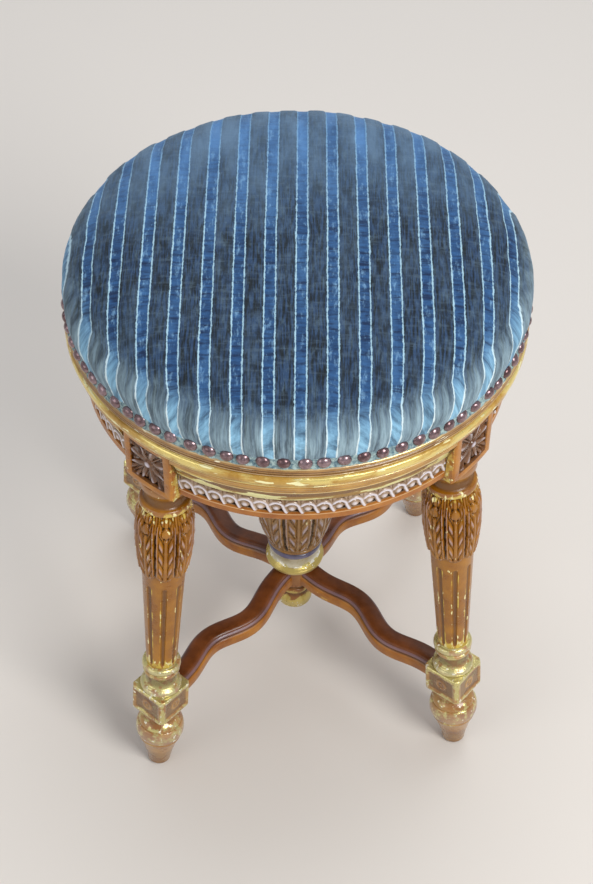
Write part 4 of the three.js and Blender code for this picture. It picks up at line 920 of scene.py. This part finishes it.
def lay_cloth(piece):
    """Writes the cloth's own flat place of every point as a uv, in metres: a point at angle a whose
    distance from the crown along the pad's profile is s lies at (d cos a, d sin a), turned by the stripes'
    heading. d is s on the crown, and grows by a quarter of s down the side, where the cloth is drawn in.
    The ground between two stripes is thicker and stands 0.9 mm proud. Two numbers go with each point, both
    for a painted sheen: edge, pale at the rounded side and most at the front, and one that lightens the far
    side."""
    count = len(piece.data.vertices)
    places, normals = np.zeros(count * 3, np.float32), np.zeros(count * 3, np.float32)
    piece.data.vertices.foreach_get("co", places)
    piece.data.vertex_normals.foreach_get("vector", normals)
    places, normals = places.reshape(-1, 3) / MM, normals.reshape(-1, 3)
    radius = np.hypot(places[:, 0], places[:, 1])
    line = profile[::-1]
    run = np.concatenate([[0], np.cumsum(np.hypot(*np.diff(line, axis=0).T))])
    nearest = np.concatenate([
        ((radius[part, None] - line[None, :, 0]) ** 2 + (places[part, 2:3] - line[None, :, 1]) ** 2).argmin(1)
        for part in np.array_split(np.arange(count), 16)])
    before = np.clip(nearest - 1, 0, len(line) - 2)
    after = np.clip(nearest + 1, 1, len(line) - 1)
    step = line[after] - line[before]
    share = (radius - line[before, 0]) * step[:, 0] + (places[:, 2] - line[before, 1]) * step[:, 1]
    share = np.clip(share / (step ** 2).sum(1), 0, 1)
    out = run[before] + share * (run[after] - run[before])
    drawn = np.minimum(out, SIDE_BEGINS) + np.maximum(out - SIDE_BEGINS, 0) / 4
    flat = places[:, :2] / np.maximum(radius, 1e-6)[:, None] * drawn[:, None]
    along_u = flat[:, 0] * math.cos(STRIPE_HEADING) + flat[:, 1] * math.sin(STRIPE_HEADING)
    along_v = flat[:, 1] * math.cos(STRIPE_HEADING) - flat[:, 0] * math.sin(STRIPE_HEADING)
    off = np.abs(((along_u - STRIPE_OFFSET) / STRIPE_PITCH + 0.5) % 1 - 0.5) * STRIPE_PITCH
    ground = smooth(off, STRIPE_WIDTH / 2 - 0.4, STRIPE_WIDTH / 2 + 2.0)
    proud = GROUND_PROUD * ground * (places[:, 2] > HEM_HIGH)
    lifted = (places + normals * proud[:, None]) * MM
    piece.data.vertices.foreach_set("co", lifted.astype(np.float32).ravel())
    used = np.zeros(len(piece.data.loops), np.int32)
    piece.data.loops.foreach_get("vertex_index", used)
    laid = np.stack([along_u, along_v], -1)[used] * MM
    piece.data.uv_layers.new(name="cloth").data.foreach_set("uv", laid.astype(np.float32).ravel())
    # Painted sheen: pale at the rounded side, most where it faces the front, and lighter on the far side of
    # the crown.
    facing = smooth(-places[:, 1] / np.maximum(radius, 1), -0.6, 0.9)
    front = smooth(out, 168, 210) * (0.42 + 0.58 * facing)
    far_sheen_share = smooth(places[:, 1], -20, 150) * smooth(places[:, 2], 470, 500)
    for label, values in (("edge", front), ("far_sheen", far_sheen_share)):
        worn = piece.data.attributes.new(label, "FLOAT", "POINT")
        worn.data.foreach_set("value", values.astype(np.float32))
    piece.data.update()


def striped_velvet():
    """Cut cotton velvet, woven in stripes of 24 mm: a blue stripe of 8.6 mm between two pale, broken cut
    lines of about 1 mm, and a slate ground of fine 1.5 mm ribs. The eye gets a soft dark pile, clouded by
    wear, with slubs every few millimetres. A painted sheen makes it pale at the rounded edge, most at the
    front, lighter on the far side, and brightens the cut lines there."""
    material, tree = blank_material("striped_velvet")
    cloth = add_node(tree, "ShaderNodeUVMap", uv_map="cloth").outputs[0]
    edge = add_node(tree, "ShaderNodeAttribute", attribute_name="edge").outputs["Fac"]
    far_sheen = add_node(tree, "ShaderNodeAttribute", attribute_name="far_sheen").outputs["Fac"]
    noises = {}
    for name, scale, size, detail, rough in (
            ("sway", (1, 1, 1), 60.0, 3.0, 0.6), ("broken", (1, 0.6, 1), 380.0, 4.0, 0.75),
            ("ribs", (1, 0.07, 1), 640.0, 2.0, 0.6), ("wisps", (1, 0.35, 1), 190.0, 6.0, 0.72),
            ("clouds", (1, 0.35, 1), 38.0, 5.0, 0.62), ("slubs", (0.2, 1, 1), 230.0, 5.0, 0.68)):
        drawn = add_node(tree, "ShaderNodeMapping", {"Vector": cloth, "Scale": scale}).outputs[0]
        noises[name] = add_node(tree, "ShaderNodeTexNoise", {
            "Vector": drawn, "Scale": size, "Detail": detail, "Roughness": rough}).outputs[0]
    across = add_node(tree, "ShaderNodeSeparateXYZ", {0: cloth}).outputs[0]
    swayed = add_node(tree, "ShaderNodeMath", {
        0: noises["sway"], 1: 0.0011, 2: across}, operation="MULTIPLY_ADD")
    counted = add_node(tree, "ShaderNodeMath", {
        0: swayed.outputs[0], 1: 1 / (STRIPE_PITCH * MM), 2: 20.5 - (STRIPE_OFFSET + 0.55) / STRIPE_PITCH},
        operation="MULTIPLY_ADD")
    part = add_node(tree, "ShaderNodeMath", {0: counted.outputs[0]}, operation="FRACT")
    signed = add_node(tree, "ShaderNodeMath", {0: part.outputs[0], 1: 0.5}, operation="SUBTRACT")
    off = add_node(tree, "ShaderNodeMath", {0: signed.outputs[0]}, operation="ABSOLUTE").outputs[0]
    half = 0.5 * STRIPE_WIDTH / STRIPE_PITCH
    in_blue = add_node(tree, "ShaderNodeMapRange", {
        "Value": off, "From Min": half + 0.015, "From Max": half - 0.01})
    line_width = add_node(tree, "ShaderNodeMapRange", {
        "Value": noises["broken"], "From Min": 0.36, "From Max": 0.66, "To Min": 0.006, "To Max": 0.044})
    beside = add_node(tree, "ShaderNodeMath", {0: off, 1: half}, operation="SUBTRACT")
    apart = add_node(tree, "ShaderNodeMath", {0: beside.outputs[0]}, operation="ABSOLUTE")
    widths = add_node(tree, "ShaderNodeMath", {
        0: apart.outputs[0], 1: line_width.outputs[0]}, operation="DIVIDE")
    in_line = add_node(tree, "ShaderNodeMapRange", {
        "Value": widths.outputs[0], "From Min": 1.25, "From Max": 0.45, "To Max": 0.86}).outputs[0]
    shades = {}
    for name, base, layers in (
            ("ground", "151D22", (
                ("ribs", 0.42, 0.58, 0.9, "2A4262"), ("clouds", 0.46, 0.68, 0.4, "485C70"),
                ("slubs", 0.50, 0.68, 0.5, "4E6070"), ("wisps", 0.52, 0.70, 0.5, "5A7080"),
                ("wisps", 0.48, 0.38, 0.6, "10181E"))),
            ("stripe", "152E50", (
                ("slubs", 0.40, 0.68, 1.0, "2C5686"), ("clouds", 0.46, 0.68, 0.45, "4876A6"),
                ("wisps", 0.54, 0.70, 0.7, "86B2D4"), ("slubs", 0.46, 0.36, 0.8, "102444")))):
        shade = linear(base)
        for field, low, high, most, tint in layers:
            share = add_node(tree, "ShaderNodeMapRange", {
                "Value": noises[field], "From Min": low, "From Max": high, "To Max": most})
            layer = add_node(tree, "ShaderNodeMix", {
                "Factor": share.outputs[0], "A": shade, "B": linear(tint)}, data_type="RGBA")
            shade = layer.outputs["Result"]
        shades[name] = shade
    # Painted sheen on the pile: lighter on the far side, and pale at the rounded edge, most at the front.
    for name, place, field, least, most, tint in (
            ("ground", far_sheen, "clouds", 0.35, 0.95, "5C7690"),
            ("stripe", far_sheen, "clouds", 0.35, 0.95, "5480B2"),
            ("ground", edge, "wisps", 0.20, 0.95, "9CB6C2"),
            ("stripe", edge, "slubs", 0.25, 1.0, "9CD0EC")):
        painted_sheen_share = add_node(tree, "ShaderNodeMapRange", {
            "Value": noises[field], "From Min": 0.38, "From Max": 0.62, "To Min": least, "To Max": most})
        share = add_node(tree, "ShaderNodeMath", {0: place, 1: painted_sheen_share.outputs[0]}, operation="MULTIPLY")
        layer = add_node(tree, "ShaderNodeMix", {
            "Factor": share.outputs[0], "A": shades[name], "B": linear(tint)}, data_type="RGBA")
        shades[name] = layer.outputs["Result"]
    woven = add_node(tree, "ShaderNodeMix", {
        "Factor": in_blue.outputs[0], "A": shades["ground"], "B": shades["stripe"]}, data_type="RGBA")
    # Painted sheen on the cut lines: dimmer on the far side and brighter at the front edge.
    far_line = add_node(tree, "ShaderNodeMix", {
        "Factor": far_sheen, "A": linear("A8CCDC"), "B": linear("6E98BE")}, data_type="RGBA")
    line_colour = add_node(tree, "ShaderNodeMix", {
        "Factor": edge, "A": far_line.outputs["Result"], "B": linear("E8F8FA")}, data_type="RGBA")
    lined = add_node(tree, "ShaderNodeMix", {
        "Factor": in_line, "A": woven.outputs["Result"], "B": line_colour.outputs["Result"]},
        data_type="RGBA")
    crossed = add_node(tree, "ShaderNodeMath", {0: noises["slubs"], 1: noises["wisps"]}, operation="ADD")
    thread = add_node(tree, "ShaderNodeMath", {0: noises["ribs"], 1: crossed.outputs[0]}, operation="ADD")
    raised = add_node(tree, "ShaderNodeMath", {
        0: in_line, 1: 0.7, 2: thread.outputs[0]}, operation="MULTIPLY_ADD")
    bump = add_node(tree, "ShaderNodeBump", {
        "Height": raised.outputs[0], "Strength": 0.5, "Distance": 0.0009})
    shader = add_node(tree, "ShaderNodeBsdfPrincipled", {
        "Base Color": lined.outputs["Result"], "Roughness": 0.8, "Sheen Weight": 0.25, "Sheen Roughness": 0.4,
        "Sheen Tint": linear("B8D0E0"), "Specular IOR Level": 0.25, "Normal": bump.outputs[0]})
    add_node(tree, "ShaderNodeOutputMaterial", {"Surface": shader.outputs[0]})
    return material


lay_cloth(pad)
pad.data.materials.clear()
pad.data.materials.append(striped_velvet())
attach(pad, "seat")
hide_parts("seat_pad")

# Hem of the cover
# The raw edge of the velvet is turned out under the nails and lies on the step of the rim. Its pile is
# worn off there, so pale backing shows between the heads, and the cut edge is frayed.

HEM_COLUMNS, FRAY_WAVES, FRAY_HEIGHT = 720, 9, 0.14


def hem_surface():
    """A thin closed band about the Z axis, given as section points by columns by xyz. The lip on the rim
    is frayed: its radius varies by the sum of nine sines of equal height and of random pitch and place."""
    random = np.random.default_rng(41)
    section = np.array([
        [185.4, HEM_HIGH], [186.5, 460.6], [186.9, 457.6], [187.0, 454.0], [187.2, 452.2], [188.0, 451.2],
        [187.9, 450.5], [186.6, 450.7], [185.6, 452.0]])
    lip = np.array([0, 0, 0, 0, 0.3, 1.0, 1.0, 0, 0])[:, None]
    turn = 2 * np.pi * np.arange(HEM_COLUMNS) / HEM_COLUMNS
    waves = random.integers(20, 170, FRAY_WAVES)[:, None]
    fray = (np.sin(waves * turn + random.uniform(0, 6.28, FRAY_WAVES)[:, None]) * FRAY_HEIGHT).sum(0)
    r = section[:, :1] + lip * fray
    z = section[:, 1:] + 0 * fray
    return np.stack([r * np.cos(turn), r * np.sin(turn), z], -1)


def worn_backing():
    """Cotton backing of the velvet with the pile rubbed off: a matt pale blue-green in 3 mm clouds, with
    darker threads where some pile is left."""
    material, tree = blank_material("worn_velvet_backing")
    place = add_node(tree, "ShaderNodeTexCoord").outputs["Object"]
    clouds = add_node(tree, "ShaderNodeTexNoise", {
        "Vector": place, "Scale": 330.0, "Detail": 5.0, "Roughness": 0.7})
    left = add_node(tree, "ShaderNodeMapRange", {
        "Value": clouds.outputs[0], "From Min": 0.38, "From Max": 0.60})
    colour = add_node(tree, "ShaderNodeMix", {
        "Factor": left.outputs[0], "A": linear("54707E"), "B": linear("A9BFBC")}, data_type="RGBA")
    bump = add_node(tree, "ShaderNodeBump", {
        "Height": clouds.outputs[0], "Strength": 0.5, "Distance": 0.0006})
    shader = add_node(tree, "ShaderNodeBsdfPrincipled", {
        "Base Color": colour.outputs["Result"], "Roughness": 0.85, "Specular IOR Level": 0.25,
        "Normal": bump.outputs[0]})
    add_node(tree, "ShaderNodeOutputMaterial", {"Surface": shader.outputs[0]})
    return material


hem = skin("velvet_hem", hem_surface(), True, True, sharp=60)
hem.data.materials.append(worn_backing())
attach(hem, "seat")

# Row of nails
# Seventy-nine domed upholstery nails fix the cover to the rim. The heads are pressed brass, browned in
# the making and polished by wear, and no two sit quite alike.

NAIL_COUNT, NAIL_LEVEL, NAIL_RADIUS, NAIL_RISE, NAIL_RING = 79, 456.2, 6.0, 4.6, 185.9
HEAD_ROWS, HEAD_COLUMNS = 8, 14


def nail_row():
    """All heads in one mesh: a head is the dome rise cos(b), radius sin(b) for b from 0 to 97 degrees, on
    its own place round the rim, with its size, place, tilt and level varied a little at random."""
    random = np.random.default_rng(79)
    tilt = np.linspace(1e-3, np.radians(97), HEAD_ROWS)[:, None]
    turn = 2 * np.pi * np.arange(HEAD_COLUMNS) / HEAD_COLUMNS
    bowl = np.stack([
        np.repeat(np.cos(tilt), HEAD_COLUMNS, 1), np.sin(tilt) * np.cos(turn),
        np.sin(tilt) * np.sin(turn)], -1)
    grid = bowl.reshape(-1, 3)
    i, j = np.arange(HEAD_ROWS - 1)[:, None] * HEAD_COLUMNS, np.arange(HEAD_COLUMNS)[None, :]
    after = (j + 1) % HEAD_COLUMNS
    quads = np.stack([i + j, i + HEAD_COLUMNS + j, i + HEAD_COLUMNS + after, i + after], -1)
    quads = quads.reshape(-1, 4)
    caps = [np.arange(HEAD_COLUMNS), (HEAD_ROWS - 1) * HEAD_COLUMNS + np.arange(HEAD_COLUMNS)[::-1]]
    places, faces = [], []
    for k in range(NAIL_COUNT):
        size = NAIL_RADIUS * (1 + random.uniform(-0.07, 0.02))
        at = 2 * np.pi * (k + 0.5 + random.uniform(-0.12, 0.12)) / NAIL_COUNT
        lean = random.uniform(-0.14, 0.14, 2)
        head = grid * np.array([NAIL_RISE, size, size * 0.97])
        head[:, 0] += head[:, 1] * lean[0] + head[:, 2] * lean[1]
        level = NAIL_LEVEL + random.uniform(-0.5, 0.4)
        places.append(about(head + [NAIL_RING, 0, level], at))
        faces.extend((quads + k * len(grid)).tolist())
        faces.extend((cap_face + k * len(grid)).tolist() for cap_face in caps)
    mesh = bpy.data.meshes.new("domed_nails")
    mesh.from_pydata((np.concatenate(places) * MM).tolist(), [], faces)
    mesh.validate()
    mesh.shade_smooth()
    mesh.set_sharp_from_angle(angle=math.radians(50))
    piece = bpy.data.objects.new("domed_nails", mesh)
    bpy.context.scene.collection.objects.link(piece)
    return piece


def browned_brass():
    """Pressed brass, browned with acid and rubbed bright on top: a dark plum-brown metal with small clear
    highlights and 2.5 mm patches where the brown is thin."""
    material, tree = blank_material("browned_brass")
    place = add_node(tree, "ShaderNodeTexCoord").outputs["Object"]
    patch = add_node(tree, "ShaderNodeTexNoise", {
        "Vector": place, "Scale": 400.0, "Detail": 4.0, "Roughness": 0.6})
    each = add_node(tree, "ShaderNodeTexNoise", {"Vector": place, "Scale": 60.0, "Detail": 1.0})
    both = add_node(tree, "ShaderNodeMath", {0: patch.outputs[0], 1: each.outputs[0]}, operation="MULTIPLY")
    share = add_node(tree, "ShaderNodeMapRange", {
        "Value": both.outputs[0], "From Min": 0.15, "From Max": 0.4})
    colour = add_node(tree, "ShaderNodeMix", {
        "Factor": share.outputs[0], "A": linear("64494A"), "B": linear("A68E94")}, data_type="RGBA")
    rough = add_node(tree, "ShaderNodeMapRange", {"Value": patch.outputs[0], "To Min": 0.18, "To Max": 0.32})
    shader = add_node(tree, "ShaderNodeBsdfPrincipled", {
        "Base Color": colour.outputs["Result"], "Metallic": 0.75, "Roughness": rough.outputs[0],
        "Coat Weight": 0.2, "Coat Roughness": 0.22})
    add_node(tree, "ShaderNodeOutputMaterial", {"Surface": shader.outputs[0]})
    return material


nails = nail_row()
nails.data.materials.append(browned_brass())
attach(nails, "seat")
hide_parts("nail_band")

# Room, light and camera
# A plain pale floor, a broad window light from the front right, a softer one overhead and a weak fill
# from the left, and the camera where the photograph was taken: high, near the front.


def pale_stage():
    """Matt pale paint: its shading keeps the stool's shadow."""
    material = bpy.data.materials.new("pale_floor")
    material.use_nodes = True
    shader = material.node_tree.nodes["Principled BSDF"]
    shader.inputs["Base Color"].default_value = linear("D9D3CC")
    shader.inputs["Roughness"].default_value = 0.9
    shader.inputs["Specular IOR Level"].default_value = 0.1
    return material


floor_mesh = bpy.data.meshes.new("floor")
floor_mesh.from_pydata([(-6, -6, 0), (6, -6, 0), (6, 6, 0), (-6, 6, 0)], [], [(0, 1, 2, 3)])
floor = bpy.data.objects.new("floor", floor_mesh)
bpy.context.scene.collection.objects.link(floor)
floor.data.materials.append(pale_stage())
floor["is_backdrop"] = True

world = bpy.data.worlds.new("room")
bpy.context.scene.world = world
world.use_nodes = True
world.node_tree.nodes["Background"].inputs[0].default_value = linear("E9ECF2")
world.node_tree.nodes["Background"].inputs[1].default_value = 0.55

for name, place, aim, size, power, tint in (
        ("window", (1.3, -1.8, 2.2), (0, 0, 0.35), 1.3, 58, (1.0, 0.99, 0.97)),
        ("sky", (0.3, 0.8, 2.6), (0, 0, 0.3), 1.8, 26, (0.94, 0.97, 1.0)),
        ("fill", (-2.0, -1.2, 1.2), (0, 0, 0.3), 1.6, 9, (1.0, 0.98, 0.95))):
    lamp = bpy.data.lights.new(name, "AREA")
    lamp.shape = "DISK"
    lamp.size, lamp.energy, lamp.color = size, power, tint
    holder = bpy.data.objects.new(name, lamp)
    holder.location = place
    holder.rotation_euler = (Vector(aim) - Vector(place)).to_track_quat("-Z", "Y").to_euler()
    bpy.context.scene.collection.objects.link(holder)

AZIMUTH, ELEVATION, ROLL, DISTANCE = math.radians(-5.5), math.radians(48.21), math.radians(0.54), 1.7560
TARGET = Vector((0.0007, 0.0, 0.2712))
FOCAL_PIXELS, PHOTO_HEIGHT, SENSOR_WIDTH = 2000, 884, 36.0
camera_data = bpy.data.cameras.new("camera")
camera_data.sensor_width = SENSOR_WIDTH
camera_data.lens = FOCAL_PIXELS / PHOTO_HEIGHT * SENSOR_WIDTH
camera_data.clip_start, camera_data.clip_end = 0.05, 50.0
camera = bpy.data.objects.new("camera", camera_data)
back = Vector((
    math.sin(AZIMUTH) * math.cos(ELEVATION), -math.cos(AZIMUTH) * math.cos(ELEVATION), math.sin(ELEVATION)))
camera.location = TARGET + back * DISTANCE
camera.rotation_mode = "QUATERNION"
camera.rotation_quaternion = (-back).to_track_quat("-Z", "Y") @ Quaternion((0, 0, 1), ROLL)
bpy.context.scene.collection.objects.link(camera)
bpy.context.scene.camera = camera

bpy.context.scene.view_settings.view_transform = "Standard"

low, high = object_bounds()
